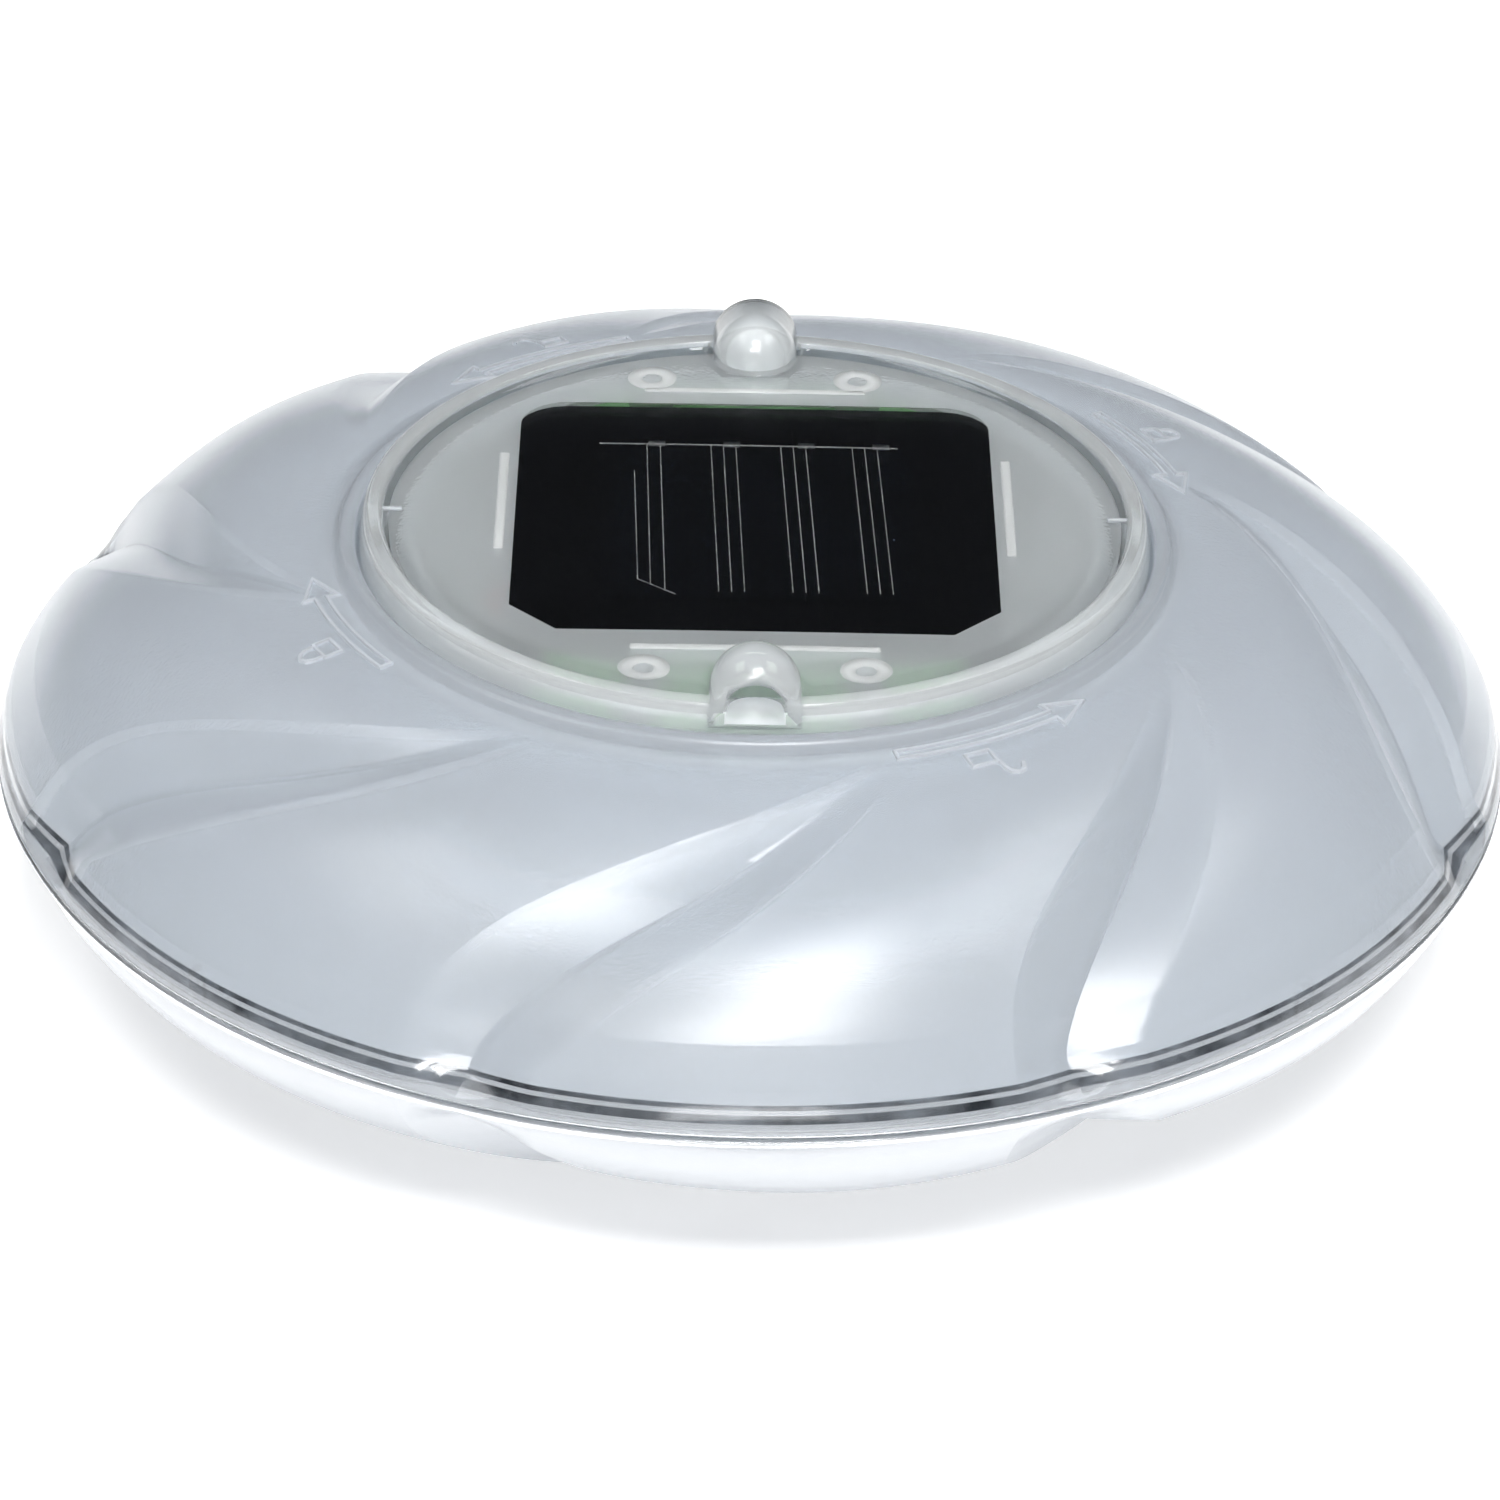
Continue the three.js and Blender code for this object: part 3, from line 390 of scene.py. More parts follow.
def columns(r):
    """Angles, pillow share and valley share of the points of one row."""
    near, middle, far = valley_lines(r)
    angle, edge, valley = [], [], []
    for lobe in range(LOBES):
        start = LOBE_PHASE + lobe * PITCH
        for i in range(FACET_COLS):
            s = i / FACET_COLS
            angle.append(start + near + s * (middle - near))
            edge.append(1)
            valley.append(s)
        for i in range(FACET_COLS):
            s = i / FACET_COLS
            angle.append(start + middle + s * (far - middle))
            edge.append(1)
            valley.append(1 - s)
        for i in range(PETAL_COLS):
            s = 0.5 - 0.5 * math.cos(math.pi * i / PETAL_COLS)
            angle.append(start + far + s * (PITCH + near - far))
            edge.append(1 - math.sin(math.pi * s))
            valley.append(0)
    return np.radians(angle), np.array(edge), np.array(valley)


def row_of_points(angle, r, z):
    return np.stack([r * np.cos(angle), r * np.sin(angle), z], -1)


def ring_row(r, z, columns_at=COLLAR_IN):
    """Level ring of points, whose angles are those of the columns at another radius."""
    angle = columns(columns_at)[0]
    return row_of_points(angle, np.full(COLS, r), np.full(COLS, z))


def plain_crown(shape, degrees):
    """Radius, and height above the seam, of the plain curve under the lobes."""
    inner_r, height, power = shape
    a = math.radians(degrees)
    return inner_r + (RIM_R - inner_r) * math.sin(a), height * max(math.cos(a), 0) ** (2 * power)


def beveled_crown(shape, degrees, bevel):
    if bevel is None or not bevel[0] < degrees < bevel[1]:
        return plain_crown(shape, degrees)
    s = (degrees - bevel[0]) / (bevel[1] - bevel[0])
    (ra, za), (rb, zb) = plain_crown(shape, bevel[0]), plain_crown(shape, bevel[1])
    return ra + s * (rb - ra), za + s * (zb - za)


def crown_normal(shape, degrees):
    if degrees >= 90:
        return 1, 0
    r0, z0 = plain_crown(shape, max(degrees - 0.6, 0))
    r1, z1 = plain_crown(shape, min(degrees + 0.6, 90 - 1e-4))
    length = math.hypot(r1 - r0, z1 - z0)
    return -(z1 - z0) / length, (r1 - r0) / length


def skin(shape, sign, inset, steps, bevel=None):
    """Rows of a shell skin, (COLS, 3) in mm, at angles of the crown's sweep from 0 to 90."""
    rows = []
    for degrees in steps:
        r, z = beveled_crown(shape, degrees, bevel)
        normal = crown_normal(shape, degrees)
        grow = float(smoothstep((r - TIP_R) / (0.55 * (VALLEY_END_R - TIP_R))))
        fade = 1 - float(smoothstep((degrees / 90 - 0.8) / 0.2))
        angle, edge, valley = columns(r)
        down = inset + grow * fade * (PILLOW * edge + VALLEY_DEPTH * valley)
        z_row = np.maximum(z - down * normal[1], 0) + SEAM_GAP / 2
        if degrees >= 90 and inset == 0:
            z_row = z_row + LIP
        rows.append(row_of_points(angle, r - down * normal[0], SEAM_Z + sign * z_row))
    return rows


def lip_row(z):
    """Foot of the chamfer that ends the rim at the seam."""
    return ring_row(RIM_R - LIP, z, RIM_R)


def collar_rows(meet_z):
    """Rounded edge, bore and foot of the collar, on to where it meets the inner skin."""
    rows = [ring_row(COLLAR_OUT + out, COLLAR_TOP - down) for out, down in COLLAR_OUTER_EDGE]
    rows += [ring_row(COLLAR_IN + out, COLLAR_TOP - down) for out, down in COLLAR_INNER_EDGE]
    rows += [ring_row(COLLAR_IN, COLLAR_LOW), ring_row(COLLAR_OUT, COLLAR_LOW)]
    return rows + [ring_row(COLLAR_OUT, meet_z - 0.6), ring_row(COLLAR_OUT + 0.3, meet_z - 0.1)]


def first_outside(rows, radius):
    return next(i for i, row in enumerate(rows) if math.hypot(row[0][0], row[0][1]) > radius)


def crease_and_band(ob, tags, sharp_degrees, clear_from, painted_reflection_bands=()):
    """Creases along the valley lines and given rows, clear bands and bands of painted reflection towards
    the rim.

    tags holds, for each row of the grid, ("outer" | "inner" | "lip" | "", degrees).
    """
    mesh = ob.data
    total = len(tags) * COLS
    for edge in mesh.edges:
        a, b = edge.vertices
        if a >= total or b >= total:
            continue
        (row_a, col_a), (row_b, col_b) = divmod(a, COLS), divmod(b, COLS)
        side, degrees = tags[row_a]
        along_line = col_a == col_b and col_a % LOBE_COLS in (0, FACET_COLS)
        along_row = row_a == row_b and any(abs(degrees - d) < 0.01 for d in sharp_degrees)
        if side == "outer" and ((along_line and 25 < degrees < 88) or along_row):
            edge.use_edge_sharp = True
    for poly in mesh.polygons:
        rows_here = [v // COLS for v in poly.vertices if v < total]
        low = min((tags[r][1] for r in rows_here), default=0)
        if low >= clear_from:
            outside = all(tags[r][0] == "outer" for r in rows_here)
            # faces in these rows get the painted reflection material, slot 2
            dark = outside and any(a - 0.01 <= low < b - 0.01 for a, b in painted_reflection_bands)
            poly.material_index = 2 if dark else 1


def upper_shell():
    outer_steps = [*np.linspace(4, BEVEL[0], 48), *np.linspace(65, BEVEL[1], 4), *np.linspace(75, 90, 11)]
    inner_steps = [*np.linspace(6, BEVEL[0], 30), *np.linspace(66, 90, 9)]
    outer = skin(CROWN, 1, 0, outer_steps, BEVEL)
    inner = skin(CROWN, 1, WALL, inner_steps, BEVEL)
    collar = collar_rows(inner[0][0][2])
    first = first_outside(outer, COLLAR_OUT + 0.4)
    first_in = first_outside(inner, COLLAR_OUT + 0.6)
    rows = [lip_row(SEAM_Z + SEAM_GAP / 2)] + outer[first:][::-1] + collar + inner[first_in:]
    tags = [("lip", 90)] + [("outer", d) for d in outer_steps[first:][::-1]]
    tags += [("", 0)] * len(collar) + [("inner", d) for d in inner_steps[first_in:]]
    shell = new_object("shell_top", np.concatenate(rows) * MM, grid_faces(len(rows), COLS), frosted)
    shell.data.materials.append(rim_clear)
    shell.data.materials.append(rim_painted_reflection)
    crease_and_band(shell, tags, (*BEVEL, 90.0), CLEAR_FROM, PAINTED_REFLECTION_BANDS)
    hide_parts("upper_shell")
    attach(shell, "float")


def lower_shell():
    outer_steps = [*np.linspace(0, 84, 60), *np.linspace(85, 90, 8)]
    inner_steps = list(np.linspace(0, 90, 40))
    outer = skin(BOWL, -1, 0, outer_steps)
    inner = skin(BOWL, -1, WALL, inner_steps)
    rows = [lip_row(SEAM_Z - SEAM_GAP / 2)] + outer[::-1] + inner
    tags = [("lip", 90)] + [("outer", d) for d in outer_steps[::-1]] + [("inner", d) for d in inner_steps]
    foot_row = len(outer)
    inside_row = foot_row + 1
    through_floor = (foot_row, inside_row)
    faces = [f for f in grid_faces(len(rows), COLS) if (f[0] // COLS, f[2] // COLS) != through_floor]
    verts = list(np.concatenate(rows) * MM)
    under, inside = len(verts), len(verts) + 1
    verts += [Vector((0, 0, 0)), Vector((0, 0, WALL * MM))]
    for k in range(COLS):
        m = (k + 1) % COLS
        faces.append((foot_row * COLS + k, foot_row * COLS + m, under))
        faces.append((inside_row * COLS + m, inside_row * COLS + k, inside))
    # darker frosted material: painted shade on the lower shell
    shell = new_object("shell_bottom", verts, faces, frosted_low_painted_shade)
    shell.data.materials.append(rim_clear)
    crease_and_band(shell, tags, (0.0, 90.0), LOW_CLEAR_FROM)
    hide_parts("lower_shell")
    attach(shell, "float")


upper_shell()
lower_shell()


# ------------------------------------------------------------------ turning marks of the float
MARK_R = TIP_R
MARK_H = 0.25  # above the dome
MARK_SINK = 0.05
LOCK_HALF_ANGLE = 1.8
LOCK_H = 2.6
STROKE = 0.5


def dome_z(r):
    inner_r, height, power = CROWN
    u = (r - inner_r) / (RIM_R - inner_r)
    return SEAM_Z + SEAM_GAP / 2 + height * (1 - u * u) ** power


def ribbon(outer_loop, inner_loop, closed=True):
    """Raised moulded line between two outlines of (degrees, radius) points, following the dome."""
    verts, faces = [], []
    layers = ((0.0, -MARK_SINK), (0.2, MARK_H), (0.8, MARK_H), (1.0, -MARK_SINK))
    for (ta, ra), (tb, rb) in zip(outer_loop, inner_loop):
        for share, lift in layers:
            r = ra + share * (rb - ra)
            verts.append(around(r, math.radians(ta + share * (tb - ta)), dome_z(r) + lift))
    n = len(outer_loop)
    for i in range(n if closed else n - 1):
        j = (i + 1) % n
        for k in range(4):
            m = (k + 1) % 4
            faces.append((4 * i + k, 4 * j + k, 4 * j + m, 4 * i + m))
    if not closed:
        faces += [(0, 1, 2, 3), (4 * n - 4, 4 * n - 1, 4 * n - 2, 4 * n - 3)]
    return verts, faces


def arrow(start, end):
    turn = 1 if end > start else -1

    def outline(half, head_half, back, tip):
        tail, neck = start + turn * back, end - turn * (6 - back)
        shaft = [tail + (neck - tail) * i / 12 for i in range(13)]
        head = [(neck, MARK_R + head_half), (end - turn * tip, MARK_R), (neck, MARK_R - head_half)]
        far_side = [(a, MARK_R + half) for a in shaft]
        near_side = [(a, MARK_R - half) for a in shaft[::-1]]
        return far_side + head + near_side

    return ribbon(outline(0.95, 2.5, 0, 0), outline(0.45, 1.5, 0.6, 1.5))


def padlock(angle, is_open):
    half = LOCK_HALF_ANGLE
    low = MARK_R + 2
    high = low + LOCK_H
    middle = angle + (2 * half - 0.6 if is_open else 0)

    def body(inset):
        turn = math.degrees(inset / 60)
        left, right = angle - half + turn, angle + half - turn
        return [(left, low + inset), (right, low + inset), (right, high - inset), (left, high - inset)]

    def bow(inset):
        reach = half - 0.3 - inset
        top = high - inset
        end = high + 0.9 if is_open else high - 0.2
        left = [(-reach, high - 0.2), (0.1 - reach, top + 1.2), (0.5 - reach, top + 2.0)]
        right = [(reach - 0.5, top + 2.0), (reach - 0.1, top + 1.2), (reach, end)]
        return [(middle + offset, r) for offset, r in left + [(0, top + 2.4)] + right]

    return [ribbon(body(0), body(STROKE)), ribbon(bow(0), bow(STROKE), closed=False)]


mark_pieces = []
for turn in (0, 180):
    mark_pieces += [arrow(218 + turn, 193 + turn), arrow(287 + turn, 315 + turn)]
    mark_pieces += padlock(209.8 + turn, False) + padlock(296.6 + turn, True)
attach(joined("turning_marks", mark_pieces, mark_line), "float")


# ------------------------------------------------------------------ bayonet ledges and stops of the float
LEDGE_IN_R = 43.7
LEDGE_HALF_ANGLE = 15
STOP_ANGLE = 2.5
STOP_DROP = 4.9  # foot of a stop below the top of its ledge


def sector(outer_r, inner_r, start, end, low, high, steps=24):
    """Part of a ring between two angles, in mm and degrees."""
    verts, faces = [], []
    for i in range(steps + 1):
        a = math.radians(start + (end - start) * i / steps)
        for r, z in ((inner_r, low), (outer_r, low), (outer_r, high), (inner_r, high)):
            verts.append(around(r, a, z))
    for i in range(steps):
        for k in range(4):
            m = (k + 1) % 4
            faces.append((4 * i + k, 4 * i + m, 4 * i + 4 + m, 4 * i + 4 + k))
    faces += [(0, 1, 2, 3), (4 * steps, 4 * steps + 3, 4 * steps + 2, 4 * steps + 1)]
    return verts, faces


ledge_pieces = []
for middle in (45, 135, 225, 315):
    start, end = middle - LEDGE_HALF_ANGLE, middle + LEDGE_HALF_ANGLE
    ledge_low = LEDGE_TOP - LEDGE_T
    ledge_pieces.append(sector(COLLAR_IN + WALL / 2, LEDGE_IN_R, start, end, ledge_low, LEDGE_TOP))
    stop_span = (start, start + STOP_ANGLE)
    stop_heights = (LEDGE_TOP - STOP_DROP, ledge_low + 0.1)
    ledge_pieces.append(sector(COLLAR_IN + 1, LEDGE_IN_R, *stop_span, *stop_heights, 4))
attach(joined("bayonet_ledges", ledge_pieces, frosted), "float")


# ------------------------------------------------------------------ cap of the module
CAP_SEG = 160
CAP_EDGE_R = 0.8
WINDOW_EDGE_R = 0.7
HOOD_SEG, HOOD_RINGS = 48, 16
LUG_CENTRE = CAP_TOP_R - 5.6  # where the lug's ball turns into its barrel
MOUTH_Y = WINDOW_R + 0.3 + LUG_R - LUG_WALL
CUT_REACH = 9
PATCH_INSET, PATCH_FRONT_INSET = 0.2, 2.2  # clear patch inside the bond
PATCH_CORNER, PATCH_CHAMFER = 5.7, 5.5
FROST, PATCH, WINDOW = 1, 2, 3  # material slots of the cap, after its gloss


def boolean(ob, other, operation):
    """Boolean of two bodies, worked out at mm scale; the second one is used up."""
    for o in (ob, other):
        o.data.transform(Matrix.Scale(1 / MM, 4))
    modifier = ob.modifiers.new("boolean", "BOOLEAN")
    modifier.operation = operation
    modifier.solver = "EXACT"
    modifier.material_mode = "TRANSFER"
    modifier.object = other
    bpy.context.view_layer.update()
    depsgraph = bpy.context.evaluated_depsgraph_get()
    mesh = bpy.data.meshes.new_from_object(ob.evaluated_get(depsgraph))
    ob.modifiers.clear()
    ob.data = mesh
    ob.data.transform(Matrix.Scale(MM, 4))
    bpy.data.objects.remove(other)


def hood(name, r, reach, floor_z, centre, material):
    """Quarter ball inward, half barrel outward along +Y, flat underneath."""
    bm = bmesh.new()
    sweep = np.linspace(0, math.pi / 2, HOOD_RINGS + 1)
    path = [(centre - r * math.cos(t), r * math.sin(t)) for t in sweep] + [(centre + reach, r)]
    angles = [math.pi * k / HOOD_SEG for k in range(HOOD_SEG + 1)]
    loops = []
    for y, ring_r in path:
        points = [(ring_r * math.cos(a), y, WINDOW_EDGE_Z + ring_r * math.sin(a)) for a in angles]
        loops.append([bm.verts.new(in_metres(*point)) for point in points])
    for a, b in zip(loops, loops[1:]):
        for k in range(HOOD_SEG):
            bm.faces.new((a[k], a[k + 1], b[k + 1], b[k]))
    bm.faces.new(loops[-1])
    drop = (WINDOW_EDGE_Z - floor_z) * MM
    edge = [loop[0] for loop in loops] + [loop[-1] for loop in reversed(loops)]
    bottom = [bm.verts.new((v.co.x, v.co.y, v.co.z - drop)) for v in edge]
    for k in range(len(edge)):
        m = (k + 1) % len(edge)
        bm.faces.new((edge[k], bottom[k], bottom[m], edge[m]))
    bm.faces.new(bottom)
    bmesh.ops.remove_doubles(bm, verts=bm.verts, dist=1e-7)
    bmesh.ops.recalc_face_normals(bm, faces=bm.faces)
    return object_from_bmesh(name, bm, material)


def cap_profile():
    """From the underside of the window down the skirt, up the outside and in over the window."""
    points = [
        (SKIRT_IN_R - 0.8, WINDOW_UNDER),
        (SKIRT_IN_R - 0.25, WINDOW_UNDER - 0.2),
        (SKIRT_IN_R, WINDOW_UNDER - 0.8),
        (SKIRT_IN_R, SKIRT_BOTTOM),
        (CAP_R, SKIRT_BOTTOM),
        (CAP_R, COLLAR_TOP),
    ]
    for t in np.linspace(0, math.pi / 2, 7):
        side = CAP_TOP_R - CAP_EDGE_R + CAP_EDGE_R * math.cos(t)
        points.append((side, CAP_TOP - CAP_EDGE_R + CAP_EDGE_R * math.sin(t)))
    for t in np.linspace(0, math.pi / 2, 6):
        side = WINDOW_R + WINDOW_EDGE_R - WINDOW_EDGE_R * math.sin(t)
        points.append((side, CAP_TOP - WINDOW_EDGE_R + WINDOW_EDGE_R * math.cos(t)))
    for i in range(10, -1, -1):
        points.append((WINDOW_R * i / 10, WINDOW_EDGE_Z + WINDOW_CROWN * (1 - (i / 10) ** 2)))
    return points


def patch_outline():
    """Clear bonded patch: two rounded corners at the back, two chamfers at the front."""
    x, y, front = BOND_X - PATCH_INSET, BOND_Y - PATCH_INSET, PATCH_FRONT_INSET - BOND_Y
    points = []
    for side, start in ((1, 0), (-1, 90)):
        for k in range(9):
            t = math.radians(start + 90 * k / 8)
            corner_x, corner_y = side * (x - PATCH_CORNER), y - PATCH_CORNER
            points.append((corner_x + PATCH_CORNER * math.cos(t), corner_y + PATCH_CORNER * math.sin(t)))
    points += [(-x, front + PATCH_CHAMFER), (-x + PATCH_CHAMFER, front)]
    return points + [(x - PATCH_CHAMFER, front), (x, front + PATCH_CHAMFER)]


def cap_body():
    """Turned cap, its underside filled round the clear patch, with a material for each surface."""
    body = turned("cap_body", cap_profile(), CAP_SEG, cap_gloss, closed=False)
    for material in (cap_frost, cap_clear, window_clear):
        body.data.materials.append(material)
    bm = bmesh.new()
    bm.from_mesh(body.data)
    bm.verts.ensure_lookup_table()
    ring = [bm.verts[k] for k in range(CAP_SEG)]
    edges = [bm.edges.get((ring[k], ring[(k + 1) % CAP_SEG])) for k in range(CAP_SEG)]
    patch = [bm.verts.new(in_metres(x, y, WINDOW_UNDER)) for x, y in patch_outline()]
    edges += [bm.edges.new((patch[k], patch[(k + 1) % len(patch)])) for k in range(len(patch))]
    filled = bmesh.ops.triangle_fill(bm, edges=edges, use_beauty=True)
    for piece in filled["geom"]:
        if isinstance(piece, bmesh.types.BMFace):
            piece.material_index = FROST
    bm.faces.new(patch).material_index = PATCH
    bmesh.ops.recalc_face_normals(bm, faces=bm.faces)
    bm.to_mesh(body.data)
    bm.free()
    for poly in body.data.polygons:
        centre = poly.center / MM
        r = math.hypot(centre.x, centre.y)
        if abs(r - SKIRT_IN_R) < 0.9 and SKIRT_BOTTOM < centre.z < WINDOW_UNDER:
            poly.material_index = FROST
        if r < WINDOW_R and centre.z > WINDOW_EDGE_Z - 0.1:
            poly.material_index = WINDOW
    return body


def add_lug(body, half_turn):
    """Hollow hooded lug, with a mouth cut through the cap's wall."""
    lug = hood("lug", LUG_R, CAP_R - LUG_CENTRE - 0.05, COLLAR_TOP + 0.3, LUG_CENTRE, cap_gloss)
    plug_r, plug_low = WINDOW_R + 0.2, COLLAR_TOP - 3
    plug_profile = [(0, plug_low), (plug_r, plug_low), (plug_r, WINDOW_EDGE_Z), (0, WINDOW_EDGE_Z)]
    boolean(lug, turned("plug", plug_profile, material=cap_gloss), "DIFFERENCE")
    bore_r = LUG_R - LUG_WALL
    hollow = hood("hollow", bore_r, CUT_REACH, WINDOW_EDGE_Z - 0.1, LUG_CENTRE, cap_frost)
    mouth = hood("mouth", bore_r, CUT_REACH, COLLAR_TOP + 0.8, MOUTH_Y, cap_frost)
    boolean(lug, hollow, "DIFFERENCE")
    if half_turn:
        for ob in (lug, mouth):
            ob.data.transform(Matrix.Rotation(math.pi, 4, "Z"))
    boolean(body, lug, "UNION")
    boolean(body, mouth, "DIFFERENCE")


cap = cap_body()
for half_turn in (False, True):
    add_lug(cap, half_turn)
for poly in cap.data.polygons:
    poly.use_smooth = True
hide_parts("solar_cap")
attach(cap, "module")


# ------------------------------------------------------------------ ribs, ticks and bosses of the cap
UNDER = WINDOW_UNDER + 0.2  # ribs and bosses run a little into the window
RIB_H = 2.4
RIB_W = 1.2
RIB_GAP = 0.6  # between the panel and a rib
BACK_RIB_GAP = 2.6
BOSS_X = 12.6
BOSS_GAP = 6.2  # from the panel's front and back edges to the boss centres
BOSS_R = 3
PILOT_R = 1.2


def rounded_bar(name, x_span, y_span, z_span, material, bevel):
    """Moulded bar with rounded edges between the ends given for each axis, in mm."""
    low, high = (Vector(corner) for corner in zip(x_span, y_span, z_span))
    bm = bmesh.new()
    bmesh.ops.create_cube(bm, size=1)
    for v in bm.verts:
        v.co = (low + high) / 2 + v.co * (high - low)
    bmesh.ops.bevel(bm, geom=bm.edges[:], offset=bevel, segments=3, profile=0.5, affect="EDGES")
    for v in bm.verts:
        v.co *= MM
    return object_from_bmesh(name, bm, material)


RIBS = {  # ends along X and Y
    "rib_front": ((-14.3, 14.3), (-PANEL_Y - RIB_GAP - RIB_W, -PANEL_Y - RIB_GAP)),
    "rib_back": ((-13.5, 13.5), (PANEL_Y + BACK_RIB_GAP, PANEL_Y + BACK_RIB_GAP + RIB_W)),
    "rib_left": ((-PANEL_X - RIB_GAP - RIB_W, -PANEL_X - RIB_GAP), (-8.3, 15.5)),
    "rib_right": ((PANEL_X + RIB_GAP, PANEL_X + RIB_GAP + RIB_W), (-8.3, 15.5)),
}
for name, spans in RIBS.items():
    # ribs in near-opaque white: painted highlight
    attach(rounded_bar(name, *spans, (UNDER - RIB_H, UNDER), rib_painted_highlight, 0.3), "module")

TICKS = {  # ends along X
    "tick_left": (-WINDOW_R - 0.4, -WINDOW_R + 2.2),
    "tick_right": (WINDOW_R - 2.2, WINDOW_R + 0.4),
}
for name, x_span in TICKS.items():
    z_span = (WINDOW_EDGE_Z - 0.4, WINDOW_EDGE_Z + 0.25)
    attach(rounded_bar(name, x_span, (-0.3, 0.3), z_span, mark_line, 0.12), "module")

boss_low = top("circuit_board") + FIT
BOSS_PROFILE = [
    (PILOT_R, boss_low),
    (BOSS_R - 0.15, boss_low),
    (BOSS_R - 0.3, UNDER - 0.5),
    (BOSS_R, UNDER - 0.15),
    (BOSS_R, UNDER),
    (PILOT_R + 0.15, UNDER),
    (PILOT_R, UNDER - 0.2),
]
for i, (side, end) in enumerate(((-1, -1), (1, -1), (1, 1), (-1, 1))):
    # bosses share the ribs' near-opaque white painted highlight
    boss = turned("cap_boss_%d" % (i + 1), BOSS_PROFILE, 32, rib_painted_highlight)
    centre = Vector((side * BOSS_X, end * (PANEL_Y + BOSS_GAP), 0))
    boss.data.transform(Matrix.Translation(centre * MM))
    attach(boss, "module")


# ------------------------------------------------------------------ bus ribbon and grid lines of the cells
LINE_Z = top("solar_cell_1") + 0.01
LINE_H = 0.03
LINE_W, RIBBON_W = 0.1, 0.25
HEAD_Y, FOOT_Y = 18.9, -17.0  # ends of the long fingers
FINGER_PITCH = 1.5
FINGER_GROUPS = (  # first X at the bus ribbon, number of fingers, lean of their feet
    (-11.4, 1, 1.0),
    (-5.3, 3, 1.1),
    (3.1, 3, 1.3),
    (11.7, 3, 1.3),
)


def strip(x0, y0, x1, y1, width=LINE_W):
    """Thin printed line between two points, in mm."""
    a, b = Vector((x0, y0, LINE_Z)), Vector((x1, y1, LINE_Z))
    side = (b - a).normalized().cross(Vector((0, 0, 1))) * width / 2
    rise = Vector((0, 0, LINE_H))
    corners = [a - side, b - side, b + side, a + side]
    verts = [tuple(c * MM) for c in corners + [c + rise for c in corners]]
    faces = [(0, 1, 2, 3), (4, 5, 6, 7)]
    return verts, faces + [(k, (k + 1) % 4, 4 + (k + 1) % 4, 4 + k) for k in range(4)]


strips = [strip(-14.4, 12.2, -13.6, -14.3), strip(-13.0, HEAD_Y, -12.1, -15.7)]
for first_x, count, lean in FINGER_GROUPS:
    for x in (first_x + i * FINGER_PITCH for i in range(count)):
        strips.append(strip(x, HEAD_Y, x + lean, FOOT_Y))
strips += [strip(-13.7, -14.3, -9.2, -17.8), strip(-18.7, 19.1, 17.2, HEAD_Y, RIBBON_W)]
attach(joined("cell_grid_lines", strips, silver), "module")


# ------------------------------------------------------------------ camera
SENSOR_W = 36  # mm
LENS = 149.796  # mm
CAMERA_DIST = 0.750  # m, from the middle of the seam
CAMERA_ELEV = 30.29  # degrees, as are the rest
CAMERA_YAW = -0.62
CAMERA_ROLL = 1.24
AIM_BELOW = 0.27815  # how far the camera points below the middle of the seam
target = Vector((0, 0, SEAM_Z * MM))


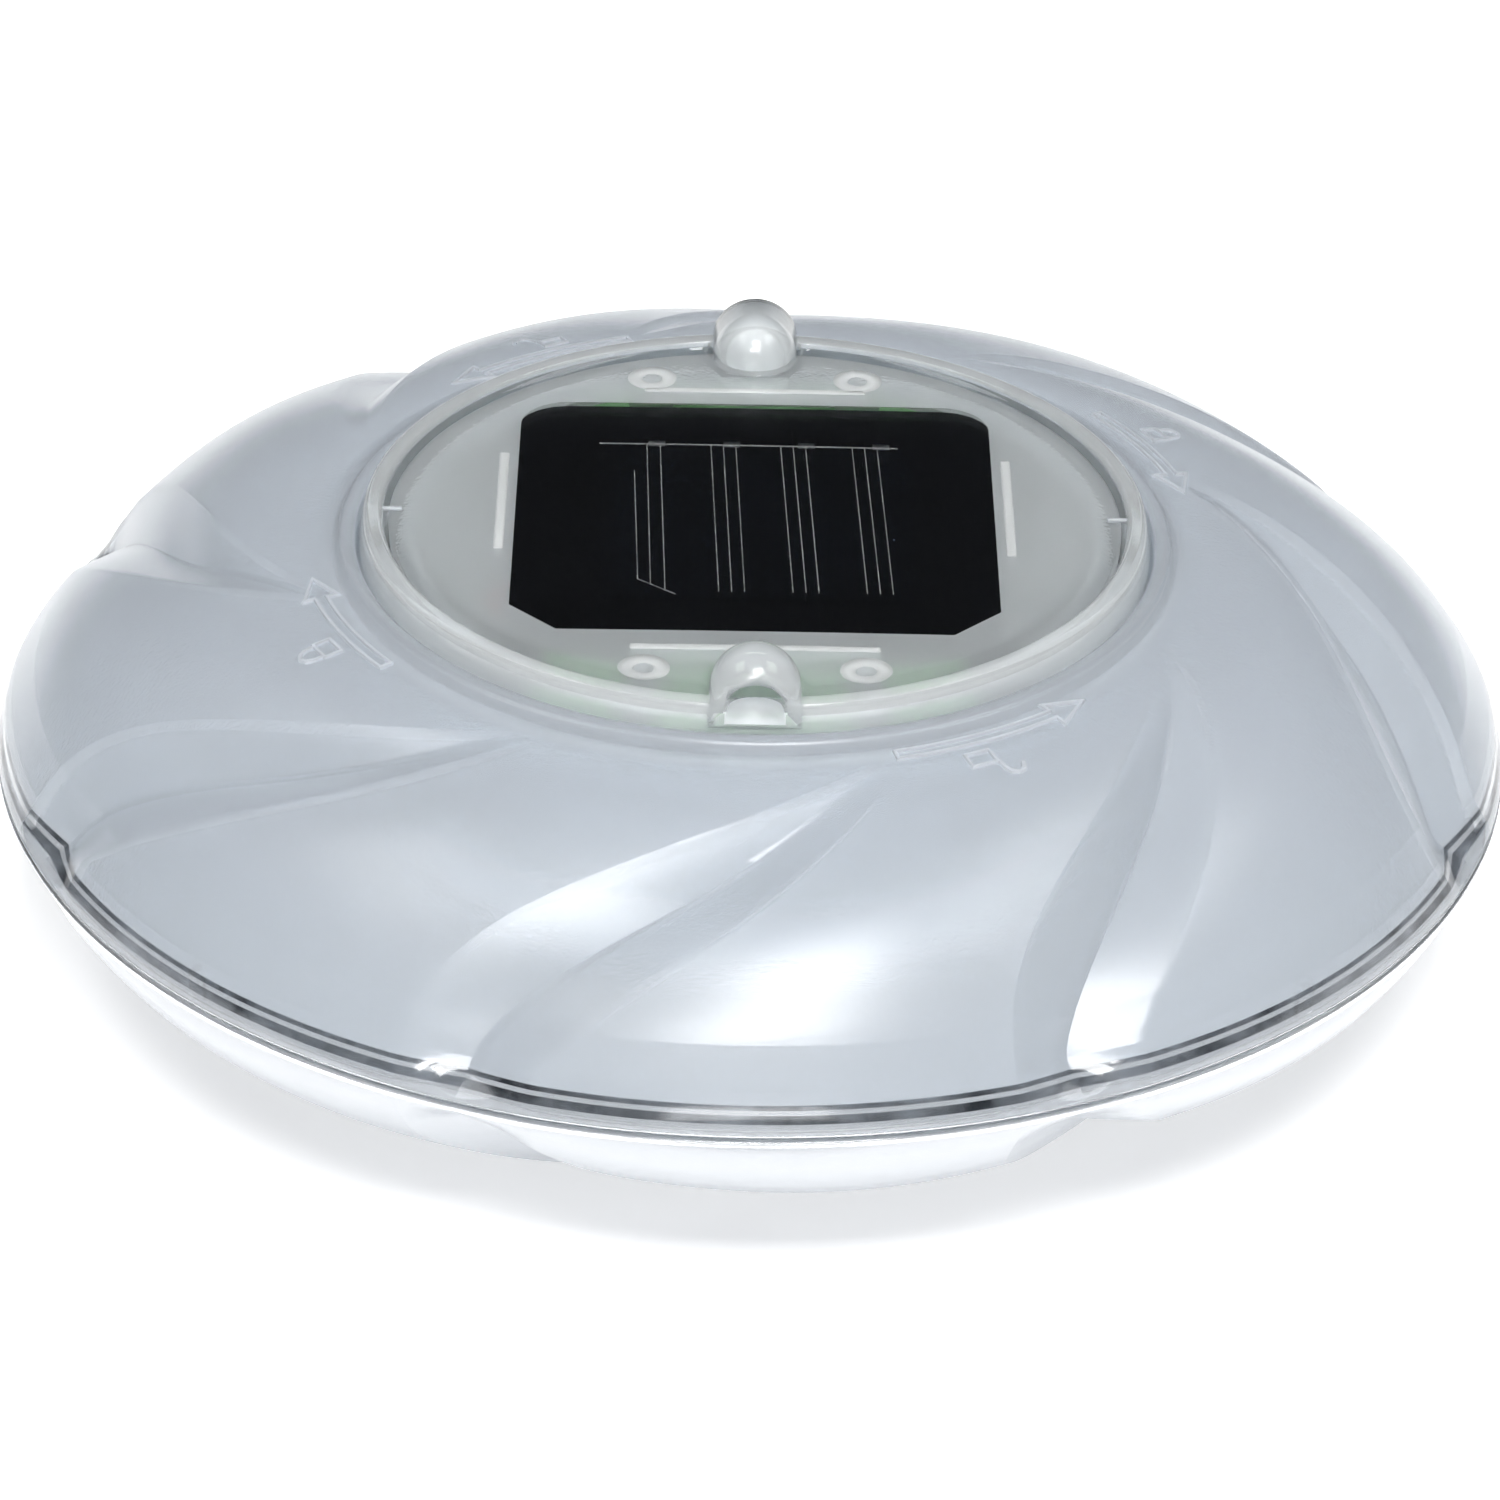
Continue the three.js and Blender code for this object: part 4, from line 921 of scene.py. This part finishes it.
def add_camera():
    elevation = math.radians(CAMERA_ELEV)
    pitch = elevation + math.radians(AIM_BELOW)
    roll = math.radians(CAMERA_ROLL)
    yaw = Matrix.Rotation(math.radians(CAMERA_YAW), 3, "Z")
    position = target + yaw @ Vector((0, -math.cos(elevation), math.sin(elevation))) * CAMERA_DIST
    forward = yaw @ Vector((0, math.cos(pitch), -math.sin(pitch)))
    up = yaw @ Vector((0, math.sin(pitch), math.cos(pitch)))
    right = yaw @ Vector((1, 0, 0))
    rolled_right = right * math.cos(roll) + up * math.sin(roll)
    rolled_up = up * math.cos(roll) - right * math.sin(roll)
    data = bpy.data.cameras.new("camera")
    data.sensor_width = SENSOR_W
    data.lens = LENS
    data.clip_start = 0.01
    camera = bpy.data.objects.new("camera", data)
    bpy.context.scene.collection.objects.link(camera)
    turn = Matrix((rolled_right, rolled_up, -forward)).transposed().to_4x4()
    camera.matrix_world = Matrix.Translation(position) @ turn
    bpy.context.scene.camera = camera


add_camera()


# ------------------------------------------------------------------ light and floor
LIGHTS = {  # width and height in m, power in W, azimuth and elevation in degrees, distance in m
    "overhead": (0.5, 0.5, 16, -80, 68, 1.5),
    "front_top": (0.6, 0.2, 11, -90, 51, 1.4),
    "front_low": (0.6, 0.25, 3, -90, 12, 1.4),
    "left": (0.8, 0.4, 3.5, 180, 60, 1.4),
    "right": (0.8, 0.4, 3.5, 0, 60, 1.4),
}
FLOOR_HALF = 12
FLOOR_DROP = 0.0002


def area_light(name, width, height, power, azimuth, elevation, distance):
    data = bpy.data.lights.new(name, "AREA")
    data.shape = "RECTANGLE"
    data.size = width
    data.size_y = height
    data.energy = power
    light = bpy.data.objects.new(name, data)
    bpy.context.scene.collection.objects.link(light)
    az, el = math.radians(azimuth), math.radians(elevation)
    offset = Vector((math.cos(az) * math.cos(el), math.sin(az) * math.cos(el), math.sin(el)))
    light.location = target + offset * distance
    light.rotation_euler = (-offset).to_track_quat("-Z", "Y").to_euler()


for name, settings in LIGHTS.items():
    area_light(name, *settings)

floor_white = finish("floor", (0.95, 0.95, 0.95), 0.9, Emission_Color=(1, 1, 1, 1), Emission_Strength=0.5)
floor_corners = [(x * FLOOR_HALF, y * FLOOR_HALF, 0) for x, y in ((-1, -1), (1, -1), (1, 1), (-1, 1))]
floor = new_object("floor", floor_corners, [(0, 1, 2, 3)], floor_white, False)
floor.location.z = -FLOOR_DROP

world = bpy.data.worlds.new("world")
world.use_nodes = True
world.node_tree.nodes["Background"].inputs["Color"].default_value = (0.015, 0.016, 0.018, 1)
scene = bpy.context.scene
scene.world = world
scene.view_settings.view_transform = "Standard"
scene.cycles.transmission_bounces = 16
scene.cycles.max_bounces = 18
